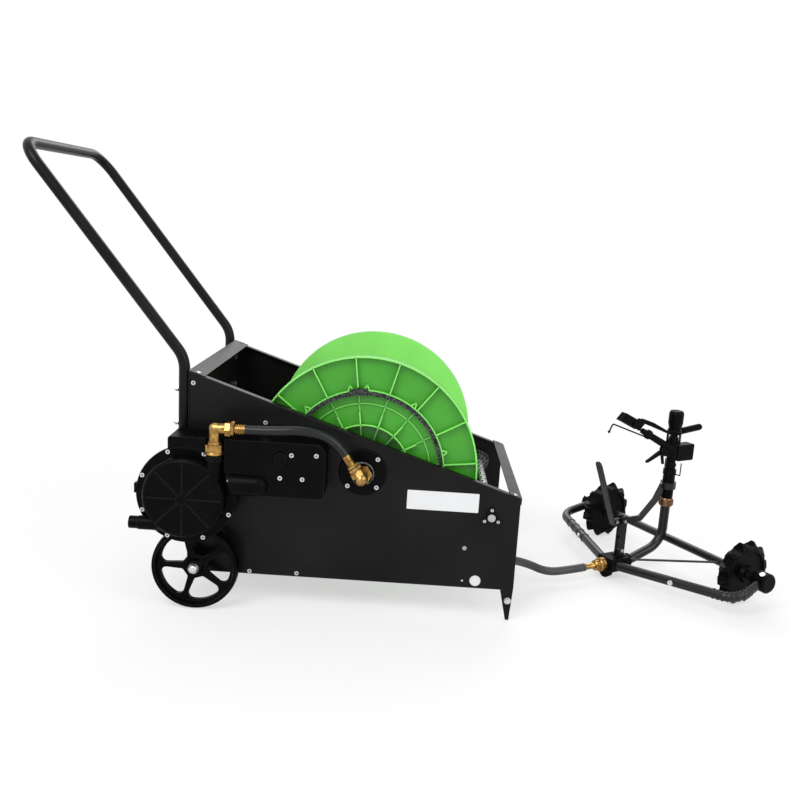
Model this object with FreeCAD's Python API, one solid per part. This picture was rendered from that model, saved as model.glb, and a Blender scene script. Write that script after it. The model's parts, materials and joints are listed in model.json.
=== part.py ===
import FreeCAD, Part

import math
import os

# Travelling sprinkler: a two-wheeled cart with a hose reel, which a water turbine turns
# to wind in a small sprinkler trolley. Millimetres. +X is the front, where the hose
# leaves, +Y is the cart's left and +Z is up. The turbine is on the right, at -Y.

V = FreeCAD.Vector
X, Y, Z = V(1, 0, 0), V(0, 1, 0), V(0, 0, 1)

# Sheet metal body of the cart
body_length = 760.0
body_width = 500.0
panel_bottom = 74.0
panel_rear_top = 545.0
panel_front_top = 297.0
sheet = 2.0
flange_width = 20.0
fold_radius = 3.0
bar_width = 28.0
bar_lip = 14.0
rear_bar_width = 35.0
cross_tube_radius = 10.0
cross_tube_x = 670.0
cross_tube_z = 93.0
plug_radius = 13.0
guide_rod_radius = 5.0
guide_rod_x = 640.0
guide_rod_z = 171.0

# Handle
handle_radius = 12.5
handle_wall = 1.5
handle_foot_z = 396.0
handle_bend_z = 573.0
handle_top_x = -372.0
handle_top_z = 1022.0
handle_low_bend = 75.0
handle_top_bend = 60.0
handle_bolt_heights = (426.0, 503.0)
bolt_radius = 4.0
nut_flats = 13.0
nut_height = 6.5

# Cart wheels and feet
wheel_radius = 100.0
wheel_width = 34.0
wheel_rim = 15.0
wheel_x = 26.0
wheel_gap = 14.0
wheel_spokes = 5
wheel_hub_radius = 19.0
wheel_hub_sunk = 4.0
wheel_axle_radius = 8.0
running_gap = 0.08
fixed_gap = 0.03
shaft_gap = 0.3
spike_x = 745.0
spike_width = 30.0
spike_tip = 8.0
spike_overlap = 30.0
spike_sheet = 3.0
foot_bolt_z = 48.0
screw_radius = 3.0
screw_head = 5.0
screw_head_height = 2.6
panel_rivets = ((173.0, 439.0), (145.0, 82.0), (255.0, 84.0), (9.0, 520.0), (9.0, 120.0))
cover_screws = ((245.0, 389.0), (221.0, 336.0), (270.0, 336.0), (299.0, 391.0))

# Plate for a label
plate_left = 501.0
plate_right = 665.0
plate_low = 258.0
plate_high = 303.0
plate_thickness = 0.8

# Reel
reel_x = 397.0
reel_z = 338.0
reel_radius = 261.0
reel_side_gap = 22.0
flange_web = 3.0
rib_height = 13.0
rib_width = 3.0
rim_width = 3.5
rib_rings = (0.28, 0.5)
outer_ribs = 16
rib_start = 16.0
inner_rib_height = 4.0
chain_clips = 8
clip_start = 38.5
core_radius = 128.0
core_wall = 3.0
axle_radius = 17.0
axle_bore = 10.0
bearing_plate_radius = 55.0
bearing_plate = 5.0
bearing_screw_offset = 33.0

# Ring chain and its pinion
chain_pitch = 8.0
chain_links = 138
chain_width = 7.0
chain_band = 4.0
chain_tooth = 3.4
tooth_clearance = 0.4
ring_gap_share = (0.72, 0.475)
pinion_share = (0.52, 0.28)
pinion_teeth = 15
pinion_width = 8.0
pinion_angle = 167.0
output_shaft_radius = 7.0

# Hose
hose_radius = 10.5
hose_pitch = 21.6
hose_bore = 8.1
inner_hose_radius = 162.0
wound_quarters = 13
hose_sides = 8
layer_gap = 0.3
groove_depth = 8.5
wound_gap = 3.8
guide_route = ((545.0, 3.3, 138.6), (745.0, 6.7, 102.0))
towing_route = ((815.0, -45.0, 64.0), (872.0, -22.0, 33.0))
last_run = 50.0
coupling_length = 65.0

# Level wind
screw_x = 696.0
screw_z = 250.0
lead_radius = 9.0
lead_core = 6.0
lobe_offset = 18.0
chain_line_gap = 21.0
guide_ahead = 5.5
guide_width = 42.0
guide_hose_x = 705.0
guide_hose_z = 110.0
eye_gap = 4.2
chain_sprocket_teeth = 12
chain_sprocket_radius = 24.5

# Drive on the right side
drive_depth = 80.0
drive_left = -26.0
drive_right = 318.0
drive_low = 292.0
drive_high = 415.0
drive_corner = 24.0
drive_wall = 3.0
cover_thickness = 4.0
boss_x = 221.0
boss_z = 379.0
boss_radius = 20.0
bulge_x = 172.0
bulge_z = 316.0
bulge_radius = 25.0
turbine_x = 10.6
turbine_z = 279.0
turbine_flange_radius = 111.0
turbine_flange = 6.0
turbine_body_radius = 94.0
turbine_cover_height = 38.0
turbine_back = 44.0
turbine_back_radius = 74.0
turbine_wall = 3.5
turbine_screws = 8
turbine_screw_circle = 104.5
rotor_radius = 72.0
rotor_blades = 12
port_x = 77.0
port_out = 24.0
port_top = 384.0
port_radius = 16.0
lobe_radius = 70.0
spigot_z = 213.0
spigot_end = -110.0
spigot_length = 20.0
spigot_radius = 14.0
spigot_bore = 10.5

# Brass and feed hose
brass_nut_flats = 34.0
elbow_radius = 12.0
elbow_z = 440.0
barb_radius = 7.0
barb_ring = 1.0
elbow_reach = 67.0
barb_in_hose = 22.0
feed_y = -312.0
feed_reach = 64.0
feed_turn = 125.5
feed_route = ((200.0, -334.0, 440.0), (268.0, -328.0, 446.0))
feed_last = 44.0

# Trolley
trolley_x = 1229.0
trolley_y = 166.0
trolley_turn = 210.0
track = 513.0
spiked_radius = 84.0
tread_radius = 66.0
spiked_width = 38.0
spikes = 12
spindle_radius = 8.0
trolley_axle_radius = 11.0
cap_radius = 25.0
cap_gap = 22.5
cap_length = 42.0
frame_radius = 12.0
corner_ahead = 100.0
corner_out = 74.5
corner_z = 54.0
hub_ahead = 204.0
hub_z = 36.5
hub_half_width = 30.0
skid_ahead = 224.0
skid_width = 66.0
wrinkle_step = 11.5
bump_step = 36.0
post_a = 175.0
post_low = 58.5
post_top = 166.0
stay_front = 207.0
stay_z = 152.0
bar_length = 195.0
riser_a = 24.0
riser_radius = 12.5
riser_top = 182.0
column_radius = 16.0
sleeve_top = 280.0
body_low = 291.0
arm_low = 372.0
arm_high = 388.0
cap_low = 392.0
cap_top = 446.0
bonnet_radius = 19.5
barrel_angle = 27.0
barrel_length = 134.0
barrel_root = 336.0
nozzle_bore = 3.2
stop_angle = 109.0
lever_a = 62.0
lever_z = 332.0
riser_low = 72.0
arm_pivot_radius = 3.0


def unit(v):
    return V(v).normalize()


def face_of(points, origin, u, v):
    """Flat face with corners (a, b) or (a, b, radius), measured along u and v from origin."""
    corners = [origin + u * p[0] + v * p[1] for p in points]
    ends = []
    for i, p in enumerate(points):
        here = corners[i]
        if len(p) < 3:
            ends.append((here, None, here))
            continue
        a = unit(corners[i - 1] - here)
        b = unit(corners[(i + 1) % len(points)] - here)
        half = a.getAngle(b) / 2
        reach = p[2] / math.tan(half)
        middle = here + unit(a + b) * (p[2] / math.sin(half) - p[2])
        ends.append((here + a * reach, middle, here + b * reach))
    edges = []
    for i, (start, middle, end) in enumerate(ends):
        if middle is not None:
            edges.append(Part.Arc(start, middle, end).toShape())
        following = ends[(i + 1) % len(ends)][0]
        if (following - end).Length > 1e-6:
            edges.append(Part.makeLine(end, following))
    return Part.Face(Part.Wire(edges))


def slab(points, origin, u, v, thickness):
    """Plate of an outline, thickened along u x v."""
    return face_of(points, origin, u, v).extrude(u.cross(v) * thickness)


def side_plate(points, y0, y1):
    """Plate whose outline is in X and Z, from y0 to y1."""
    return face_of(points, V(0, y0, 0), X, Z).extrude(Y * (y1 - y0))


def box(x0, x1, y0, y1, z0, z1):
    return Part.makeBox(x1 - x0, y1 - y0, z1 - z0, V(x0, y0, z0))


def rod(start, end, radius):
    return Part.makeCylinder(radius, (end - start).Length, start, end - start)


def pipe(start, end, radius, bore):
    over = unit(end - start)
    return rod(start, end, radius).cut(rod(start - over, end + over, bore))


def turned(profile, centre, axis=Y):
    """Solid turned about an axis through centre, from (distance along, radius) corners."""
    side = unit((Z if abs(axis.z) < 0.9 else Y).cross(axis))
    face = face_of(profile, centre, axis, side)
    return face.revolve(centre, axis, 360)


def hexagon(centre, axis, flats, height):
    """Hexagonal prism that starts at centre and runs along axis."""
    side = unit(axis.cross(Z if abs(axis.z) < 0.9 else X))
    up = axis.cross(side)
    reach = flats / math.sqrt(3)
    corners = [(reach * math.cos(k * math.pi / 3), reach * math.sin(k * math.pi / 3))
               for k in range(6)]
    return face_of(corners, centre, side, up).extrude(unit(axis) * height)


def around(shape, count, centre, axis, start=0.0):
    """Copies of a shape turned evenly about an axis."""
    copies = []
    for k in range(count):
        copy = shape.copy()
        copy.rotate(centre, axis, start + 360.0 * k / count)
        copies.append(copy)
    return copies


def joined(shapes):
    return shapes[0].multiFuse(shapes[1:]).removeSplitter()


def screw(point, outward, radius=screw_radius, head=screw_head, grip=8.0):
    """Pan head screw whose head sits on point and points outward."""
    out = unit(outward)
    shank = rod(point - out * grip, point, radius)
    cap = rod(point, point + out * screw_head_height, head)
    return shank.fuse(cap)


def mirrored(shape):
    return shape.mirror(V(0, 0, 0), Y)


def route(points, radii=None):
    """Wire of straight runs joined by tangent arcs, and the arcs' radii."""
    edges, used, start = [], [], points[0]
    for i in range(1, len(points) - 1):
        here = points[i]
        back, ahead = points[i - 1] - here, points[i + 1] - here
        half = back.getAngle(ahead) / 2
        radius = radii[i - 1] if radii else 0.45 * min(back.Length, ahead.Length) * math.tan(half)
        reach = radius / math.tan(half)
        a, b = unit(back), unit(ahead)
        first, last = here + a * reach, here + b * reach
        middle = here + unit(a + b) * (radius / math.sin(half) - radius)
        edges.append(Part.makeLine(start, first))
        edges.append(Part.Arc(first, middle, last).toShape())
        used.append(radius)
        start = last
    edges.append(Part.makeLine(start, points[-1]))
    return Part.Wire(edges), used


def swept(wire, radius):
    """Round bar along a wire."""
    edge = wire.OrderedEdges[0]
    start, along = edge.valueAt(edge.FirstParameter), edge.tangentAt(edge.FirstParameter)
    profile = Part.Wire(Part.makeCircle(radius, start, along))
    return wire.makePipeShell([profile], True, False)


def bent_tube(points, radius, radii=None, wall=None):
    wire = route(points, radii)[0]
    outer = swept(wire, radius)
    if wall:
        outer = outer.cut(swept(wire, radius - wall))
    return outer


def toothed(teeth, pitch_radius, addendum, dedendum, width, share, centre, axis, phase=0.0):
    """Face of a gear with straight-sided teeth, thickened along axis."""
    side = unit(axis.cross(Z if abs(axis.z) < 0.9 else X))
    up = axis.cross(side)
    step = 2 * math.pi / teeth
    corners = []
    for k in range(teeth):
        middle = phase + k * step
        for offset, radius in ((-0.5 * share[0], -dedendum), (-0.5 * share[1], addendum),
                               (0.5 * share[1], addendum), (0.5 * share[0], -dedendum)):
            angle = middle + offset * step
            reach = pitch_radius + radius
            corners.append((reach * math.cos(angle), reach * math.sin(angle)))
    return face_of(corners, centre, side, up).extrude(unit(axis) * width)


half_width = body_width / 2
slope = (panel_front_top - panel_rear_top) / body_length
slope_along = unit(V(1, 0, slope))
slope_up = unit(V(-slope, 0, 1))
chain_radius = chain_pitch * chain_links / (2 * math.pi)
pinion_radius = chain_pitch * pinion_teeth / (2 * math.pi)
pinion_distance = chain_radius - pinion_radius
pinion_turn = math.radians(pinion_angle)
output_x = reel_x + pinion_distance * math.cos(pinion_turn)
output_z = reel_z + pinion_distance * math.sin(pinion_turn)
flange_outer_y = half_width - reel_side_gap - sheet
flange_inner_y = flange_outer_y - rib_height - flange_web
leave_y = -flange_inner_y + hose_radius + wound_gap + hose_pitch * wound_quarters / 4
guide_y = leave_y + guide_ahead
chain_line_y = half_width - chain_line_gap
cap_inner = track / 2 + spiked_width / 2 + cap_gap
corner_side = track / 2 + corner_out
wound_radius = inner_hose_radius + hose_radius + layer_gap
drive_y = -half_width - drive_depth
turbine_y = -half_width - 60.0
cover_front_y = turbine_y - turbine_cover_height
turbine_back_y = turbine_y + turbine_back
port_y = turbine_y - port_out
spindle_z = spiked_radius * math.cos(math.pi / spikes)
leave_angle = (math.atan2(guide_hose_z - reel_z, guide_hose_x - reel_x)
               - math.acos(wound_radius / math.hypot(guide_hose_z - reel_z, guide_hose_x - reel_x)))


def top_of_panel(x):
    return panel_rear_top + slope * x


def side_panel(right):
    """Folded side panel: sloping top, with flanges turned inward at top, rear and bottom."""
    outline = [(0, panel_bottom), (body_length, panel_bottom),
               (body_length, panel_front_top), (0, panel_rear_top)]
    outer = side_plate(outline, -half_width, -half_width + flange_width)
    drop = sheet / slope_up.z
    reach = body_length + 1
    hollow = [(sheet, panel_bottom + sheet), (reach, panel_bottom + sheet),
              (reach, top_of_panel(reach) - drop), (sheet, top_of_panel(sheet) - drop)]
    tray = outer.cut(side_plate(hollow, -half_width + sheet, -half_width + flange_width + 1))
    folds = []
    for edge in tray.Edges:
        low = edge.BoundBox
        on_face = low.YMax < -half_width + 0.01
        at_front = low.XMin > body_length - 0.01
        if on_face and not at_front:
            folds.append(edge)
    tray = tray.makeFillet(fold_radius, folds)
    out, inside = V(0, -half_width - 1, 0), V(0, -half_width + sheet + 1, 0)
    holes = []
    for x, z, radius in ((wheel_x, wheel_radius, wheel_axle_radius + shaft_gap),
                         (reel_x, reel_z, axle_radius + 8 + shaft_gap),
                         (screw_x, screw_z, lead_radius + shaft_gap),
                         (cross_tube_x, cross_tube_z, cross_tube_radius + shaft_gap),
                         (guide_rod_x, guide_rod_z, guide_rod_radius + shaft_gap)):
        holes.append(rod(out + V(x, 0, z), inside + V(x, 0, z), radius))
    if right:
        holes.append(rod(out + V(output_x, 0, output_z), inside + V(output_x, 0, output_z),
                         output_shaft_radius + 4 + shaft_gap))
        holes.append(rod(out + V(guide_rod_x, 0, panel_bottom + 17),
                         inside + V(guide_rod_x, 0, panel_bottom + 17), 2.5))
    holes += [rod(V(-1, -handle_y(), z), V(sheet + 1, -handle_y(), z), bolt_radius + 0.2)
              for z in handle_bolt_heights]
    holes.append(box(spike_x - spike_width / 2 - 1, body_length + 1, -half_width + sheet,
                     -half_width + flange_width + 1, panel_bottom - 1, panel_bottom + sheet + 0.5))
    tray = tray.cut(Part.makeCompound(holes))
    return tray if right else mirrored(tray)


def rear_panel():
    """Rear sheet behind the side panels, folded forward over their top flanges."""
    low, high = panel_bottom, panel_rear_top + 2 * sheet
    back = box(-sheet, 0, -half_width, half_width, low, high)
    top = slab([(-sheet, 0), (rear_bar_width, 0), (rear_bar_width, 2 * half_width),
                (-sheet, 2 * half_width)], V(0, -half_width, panel_rear_top), slope_along, Y, sheet)
    lip = box(0, rear_bar_width, -half_width + flange_width + 1, half_width - flange_width - 1,
              low, low + sheet)
    cutter = box(-9, rear_bar_width, -half_width - 1, half_width + 1, panel_rear_top, high + 9)
    cutter = cutter.cut(slab([(-20, -20), (60, -20), (60, 0), (-20, 0)],
                             V(0, half_width + 2, panel_rear_top + sheet / slope_up.z),
                             slope_along, slope_up, 2 * half_width + 4))
    plate = joined([back.cut(cutter), top, lip])
    holes = [rod(V(-9, side * handle_y(), z), V(9, side * handle_y(), z), bolt_radius + 0.2)
             for side in (-1, 1) for z in handle_bolt_heights]
    return plate.cut(joined(holes))


def front_top_bar():
    """Angle across the front corners, on the panels' sloping flanges."""
    start = V(body_length, -half_width, panel_front_top) - slope_along * bar_width
    top = slab([(0, 0), (bar_width + sheet, 0), (bar_width + sheet, body_width), (0, body_width)],
               start, slope_along, Y, sheet)
    corner = V(body_length, 0, panel_front_top)
    lip = side_plate([(0, 0), (sheet, slope * sheet), (sheet, -bar_lip), (0, -bar_lip)],
                     -half_width, half_width)
    lip.translate(corner)
    return joined([top, lip])


def lower_cross_tube():
    """Tube between the panels that carries the hose into the cart, with an end plug outside."""
    tube = pipe(V(cross_tube_x, -half_width, cross_tube_z), V(cross_tube_x, half_width, cross_tube_z),
                cross_tube_radius, cross_tube_radius - 2)
    return tube


def tube_plugs():
    """Light round end plugs of the lower cross tube."""
    plug = turned([(0, 0), (-3.0, 0), (-3.0, plug_radius - 1.5, 1.0), (0, plug_radius),
                   (0, cross_tube_radius - 2.2), (12, cross_tube_radius - 2.2), (12, 0)],
                  V(cross_tube_x, -half_width, cross_tube_z))
    return Part.makeCompound([plug, mirrored(plug)])


def guide_rod():
    """Rod that stops the hose guide from turning."""
    return rod(V(guide_rod_x, -half_width, guide_rod_z), V(guide_rod_x, half_width, guide_rod_z),
               guide_rod_radius)


def handle_x():
    return -sheet - handle_radius


def handle_y():
    return half_width - handle_radius


def push_handle():
    """One bent tube: up the rear panel, back and up to the grip, and down the other side."""
    x, y = handle_x(), handle_y()
    points = [V(x, -y, handle_foot_z), V(x, -y, handle_bend_z), V(handle_top_x, -y, handle_top_z),
              V(handle_top_x, y, handle_top_z), V(x, y, handle_bend_z), V(x, y, handle_foot_z)]
    radii = [handle_low_bend, handle_top_bend, handle_top_bend, handle_low_bend]
    tube = bent_tube(points, handle_radius, radii, handle_wall)
    holes = [rod(V(x - 30, side * y, z), V(x + 30, side * y, z), bolt_radius + 0.2)
             for side in (-1, 1) for z in handle_bolt_heights]
    return tube.cut(joined(holes))


def handle_bolts():
    """Four bolts through the tube and the rear panel, with their nuts at the rear."""
    solids = []
    back = handle_x() - handle_radius
    for side in (-1, 1):
        for z in handle_bolt_heights:
            y = side * handle_y()
            shank = rod(V(back - nut_height - 4, y, z), V(sheet, y, z), bolt_radius)
            head = hexagon(V(sheet, y, z), X, nut_flats, 5)
            nut = hexagon(V(back, y, z), -X, nut_flats, nut_height)
            solids.append(joined([shank, head, nut]))
    return Part.makeCompound(solids)


def cart_wheel(side):
    """One-piece wheel: crowned tread, thin web with five rounded windows, and a hub."""
    inner = half_width + wheel_gap
    outer = inner + wheel_width
    middle = (inner + outer) / 2
    tread = wheel_radius - 2.5
    bore = wheel_axle_radius + running_gap
    face = outer - wheel_hub_sunk
    profile = [(inner - 2, bore), (face, bore), (face, wheel_hub_radius - 4),
               (face - 5, wheel_hub_radius), (middle + 5, wheel_hub_radius + 2),
               (middle + 5, wheel_radius - wheel_rim), (outer, wheel_radius - wheel_rim + 5),
               (outer, tread, 3), (middle, wheel_radius, 60), (inner, tread, 3),
               (inner, wheel_radius - wheel_rim + 5), (middle - 5, wheel_radius - wheel_rim),
               (middle - 5, wheel_hub_radius + 2), (inner - 2, wheel_hub_radius)]
    centre = V(wheel_x, 0, wheel_radius)
    wheel = turned([(side * p[0],) + p[1:] for p in profile], centre)
    low, high = wheel_hub_radius + 9, wheel_radius - wheel_rim - 1
    spread = math.pi / wheel_spokes
    inner_half, outer_half = low * math.tan(spread) - 10, high * math.sin(spread) - 5
    window = slab([(-inner_half, low, 7), (inner_half, low, 7), (outer_half, high - 15, 13),
                   (0, high + 3, 70), (-outer_half, high - 15, 13)],
                  centre + Y * (side * middle + 10), X, Z, 20)
    return wheel.cut(joined(around(window, wheel_spokes, centre, Y, 18)))


def wheel_axle():
    """Axle through both panels, with a shoulder that keeps each wheel off the panel."""
    reach = half_width + wheel_gap + wheel_width - wheel_hub_sunk + 16
    centre = V(wheel_x, 0, wheel_radius)
    shaft = rod(centre - Y * reach, centre + Y * reach, wheel_axle_radius)
    shoulders = [rod(centre + Y * side * (half_width + 0.3),
                     centre + Y * side * (half_width + wheel_gap - 2.3), 13) for side in (-1, 1)]
    return joined([shaft] + shoulders)


def axle_nuts():
    """Domed nut on each end of the axle."""
    start = half_width + wheel_gap + wheel_width - wheel_hub_sunk + 0.3
    profile = [(0, wheel_axle_radius), (0, 12.5), (9, 12.5), (16, 8.5, 4), (18, 0), (15.8, 0),
               (15.8, wheel_axle_radius)]
    solids = []
    for side in (-1, 1):
        solids.append(turned([(side * (start + p[0]),) + p[1:] for p in profile],
                             V(wheel_x, 0, wheel_radius)))
    return Part.makeCompound(solids)


def foot_spikes():
    """Tapered angle stake inside each front corner."""
    top = panel_bottom + spike_overlap
    wide, tip = spike_width / 2, spike_tip / 2
    y0 = -half_width + sheet
    blade = side_plate([(-wide, top), (wide, top), (wide, panel_bottom), (tip + 6, 0), (-tip + 6, 0),
                        (-wide, panel_bottom)], y0, y0 + spike_sheet)
    blade.translate(V(spike_x, 0, 0))
    web = slab([(0, top), (0, 0), (tip, 0), (18, panel_bottom), (18, top)],
               V(spike_x - tip + 6, y0, 0), Y, Z, spike_sheet)
    stake = joined([blade, web])
    hole = V(spike_x + tip, y0, foot_bolt_z)
    stake = stake.cut(rod(hole - Y, hole + Y * 20, bolt_radius + 0.05))
    return Part.makeCompound([stake, mirrored(stake)])


def foot_bolts():
    """Bolt with a round washer on each stake."""
    face = V(spike_x + spike_tip / 2, -half_width + sheet, foot_bolt_z)
    bolt = joined([rod(face - Y * 1.5, face, 8), hexagon(face - Y * 1.5, -Y, 10, 5),
                   rod(face - Y, face + Y * (spike_sheet + 5), bolt_radius)])
    return Part.makeCompound([bolt, mirrored(bolt)])


def label_plate():
    """Bare white plate on the right panel."""
    face = -half_width
    return side_plate([(plate_left, plate_low, 2), (plate_right, plate_low, 2),
                       (plate_right, plate_high, 2), (plate_left, plate_high, 2)],
                      face - plate_thickness, face)


def bearing_plates():
    """Round plate with a bush on each panel, in which the reel's axle turns."""
    y = -half_width
    bush = axle_radius + 8
    bore = axle_radius + running_gap
    plate = turned([(y - bearing_plate, bore), (y - bearing_plate, bearing_plate_radius - 3),
                    (y - 1, bearing_plate_radius), (y, bearing_plate_radius), (y, bush),
                    (y + sheet + 8, bush), (y + sheet + 8, bore)], V(reel_x, 0, reel_z))
    return Part.makeCompound([plate, mirrored(plate)])


def lead_bearings():
    """Three-lobed bearing of the level-wind screw on each panel."""
    y = -half_width
    lobe = rod(V(screw_x, y - 4, screw_z + lobe_offset), V(screw_x, y, screw_z + lobe_offset), 6.5)
    body = joined([rod(V(screw_x, y - 6, screw_z), V(screw_x, y, screw_z), 14)]
                  + around(lobe, 3, V(screw_x, 0, screw_z), Y))
    body = body.cut(rod(V(screw_x, y - 7, screw_z), V(screw_x, y + 1, screw_z),
                        lead_core + running_gap))
    return Part.makeCompound([body, mirrored(body)])


def reel_flange(right):
    """Moulded side of the reel: rim, web, radial and round ribs outside and a smooth inner face."""
    inner, outer = flange_inner_y, flange_outer_y
    web = inner + flange_web
    low = web + inner_rib_height
    bore = axle_radius + fixed_gap
    centre = V(reel_x, 0, reel_z)
    hub = axle_radius + 9
    solids = [turned([(inner, bore), (inner, reel_radius), (web, reel_radius), (web, bore)], centre),
              turned([(inner, reel_radius - rim_width), (inner, reel_radius), (outer, reel_radius),
                      (outer, reel_radius - rim_width)], centre),
              turned([(inner, bore), (inner, hub), (outer, hub), (outer, bore)], centre)]
    chain_out = chain_radius + chain_band
    solids.append(turned([(inner, chain_out + 0.3), (inner, chain_out + 3.3),
                          (outer, chain_out + 3.3), (outer, chain_out + 0.3)], centre))
    for share in rib_rings:
        radius = share * reel_radius
        solids.append(turned([(inner, radius), (inner, radius + rib_width), (outer, radius + rib_width),
                              (outer, radius)], centre))
    pinion_room = rib_rings[-1] * reel_radius + rib_width / 2
    long_rib = box(reel_x + chain_out + 1, reel_x + reel_radius - 1, inner + 1, outer,
                   reel_z - rib_width / 2, reel_z + rib_width / 2)
    low_rib = box(reel_x + pinion_room - 1, reel_x + chain_out + 1, inner + 1, low,
                  reel_z - rib_width / 2, reel_z + rib_width / 2)
    hub_rib = box(reel_x + hub - 1, reel_x + pinion_room, inner + 1, outer,
                  reel_z - rib_width / 2, reel_z + rib_width / 2)
    solids += around(joined([long_rib, low_rib, hub_rib]), outer_ribs, centre, Y, rib_start)
    if right:
        ear = slab([(-9, chain_out + 2), (0, chain_out + 24, 2), (9, chain_out + 2)],
                   centre + Y * outer, X, Z, 5)
        solids += around(ear, chain_clips, centre, Y, clip_start)
    flange = joined(solids)
    return mirrored(flange) if right else flange


def reel_core():
    """Drum between the flanges."""
    return pipe(V(reel_x, -flange_inner_y, reel_z), V(reel_x, flange_inner_y, reel_z),
                core_radius, core_radius - core_wall)


def inner_hose():
    """The hose's lower layers, as one body with a groove between its outer windings."""
    reach = flange_inner_y - 0.4
    turns = int(2 * (reach - hose_radius) / hose_pitch)
    start = -turns * hose_pitch / 2
    flat, low = hose_pitch * 0.27, inner_hose_radius - groove_depth
    profile = [(-reach, core_radius + 0.3), (-reach, low)]
    for k in range(turns):
        middle = start + (k + 0.5) * hose_pitch
        profile += [(middle - hose_pitch / 2, low), (middle - flat, inner_hose_radius),
                    (middle + flat, inner_hose_radius)]
    profile += [(-start, low), (reach, low), (reach, core_radius + 0.3)]
    return turned(profile, V(reel_x, 0, reel_z))


def reel_axle():
    """Hollow axle: water enters at the right end and leaves through a port into the drum."""
    right_end = -half_width - bearing_plate - 4
    left_end = half_width + bearing_plate + 4
    tube = rod(V(reel_x, right_end, reel_z), V(reel_x, left_end, reel_z), axle_radius)
    bore = rod(V(reel_x, right_end - 1, reel_z), V(reel_x, 75, reel_z), axle_bore)
    port_end = reel_z - core_radius + core_wall + 0.3
    port = rod(V(reel_x, 60, reel_z), V(reel_x, 60, port_end), 9)
    port_bore = rod(V(reel_x, 60, reel_z), V(reel_x, 60, port_end - 1), 6)
    return joined([tube, port]).cut(joined([bore, port_bore]))


def ring_chain():
    """Chain ring on the right flange, with its teeth inward."""
    centre = V(reel_x, -flange_outer_y, reel_z)
    gaps = toothed(chain_links, chain_radius, chain_tooth / 2, chain_tooth / 2, chain_width + 2,
                   ring_gap_share, centre - Y, Y)
    return rod(centre, centre + Y * chain_width, chain_radius + chain_band).cut(gaps)


def output_shaft():
    """Shaft out of the gear housing, with the pinion that turns the ring chain."""
    y = -flange_outer_y
    centre = V(output_x, y - 0.5, output_z)
    start = drive_y + cover_thickness + 1
    shaft = rod(V(output_x, start, output_z), V(output_x, y + pinion_width - 0.5, output_z),
                output_shaft_radius)
    pinion = toothed(pinion_teeth, pinion_radius, chain_tooth / 2 - tooth_clearance,
                     chain_tooth / 2 + tooth_clearance, pinion_width, pinion_share, centre, Y,
                     pinion_phase())
    collar = rod(V(output_x, y - 8, output_z), V(output_x, y - 0.5, output_z), 12)
    return joined([shaft, pinion, collar])


def pinion_phase():
    """Turn of the pinion that puts one tooth in a gap of the ring at the mesh point."""
    step = 2 * math.pi / chain_links
    to_gap = round(-pinion_turn / step) * step + pinion_turn
    return -pinion_turn + to_gap * chain_radius / pinion_radius


def biarc(p0, t0, p1, t1):
    """Two tangent arcs from p0 to p1."""
    v = p1 - p0
    a = 2 * (1 - t0.dot(t1))
    b = 2 * v.dot(t0 + t1)
    d = (-b + math.sqrt(b * b + 4 * a * v.dot(v))) / (2 * a)
    q0, q1 = p0 + t0 * d, p1 - t1 * d
    joint = (q0 + q1) * 0.5
    arcs = []
    for start, corner, end in ((p0, q0, joint), (joint, q1, p1)):
        back, ahead = unit(start - corner), unit(end - corner)
        half = back.getAngle(ahead) / 2
        radius = (start - corner).Length * math.tan(half)
        middle = corner + unit(back + ahead) * (radius / math.sin(half) - radius)
        arcs.append(Part.Arc(start, middle, end).toShape())
    return arcs


def winding_point(turn):
    """Place and direction of the outer layer, turns counted back from where it leaves."""
    angle = leave_angle + 2 * math.pi * turn
    radius = wound_radius
    place = V(reel_x + radius * math.cos(angle), leave_y + hose_pitch * turn,
              reel_z + radius * math.sin(angle))
    along = V(-2 * math.pi * radius * math.sin(angle), hose_pitch,
              2 * math.pi * radius * math.cos(angle))
    return place, unit(along)


def wound_hose():
    """Outer layer of the hose: one unbroken tube that winds over the lower layers."""
    edges = []
    first, along = winding_point(-wound_quarters / 4)
    start = first - along * 2 * hose_radius
    edges.append(Part.makeLine(start, first))
    for k in range(wound_quarters):
        p0, t0 = winding_point((k - wound_quarters) / 4)
        p1, t1 = winding_point((k + 1 - wound_quarters) / 4)
        edges += biarc(p0, t0, p1, t1)
    last, leaving = winding_point(0)
    edges.append(Part.makeLine(last, last + leaving * 2 * hose_radius))
    side = unit(along.cross(Y))
    up = along.cross(side)
    corners = []
    for k in range(hose_sides):
        angle = 2 * math.pi * k / hose_sides
        corners.append(start + side * hose_radius * math.cos(angle) + up * hose_radius * math.sin(angle))
    profile = Part.makePolygon(corners + [corners[0]])
    samples = [winding_point(-k / 48)[0] for k in range(12 * wound_quarters)]
    least = min((samples[i] - samples[j]).Length for i in range(len(samples))
                for j in range(i + 24, len(samples)))
    print("wound hose, least gap to itself", round(least - 2 * hose_radius, 2))
    return Part.Wire(edges).makePipeShell([profile], True, False)


def lead_screw():
    """Level-wind screw between the panels."""
    inner = half_width - sheet - 0.6
    end = half_width + 6.3
    shoulder = half_width - 34
    head = lead_core + 3
    half = [(shoulder, lead_radius), (shoulder, lead_core), (end, lead_core), (end, head),
            (end + 2.2, head - 0.8), (end + 2.2, 0)]
    return turned([(-end - 2.2, 0), (-end - 2.2, head - 0.8), (-end, head), (-end, lead_core),
                   (-inner, lead_core), (-inner, lead_radius)] + half, V(screw_x, 0, screw_z))


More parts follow.
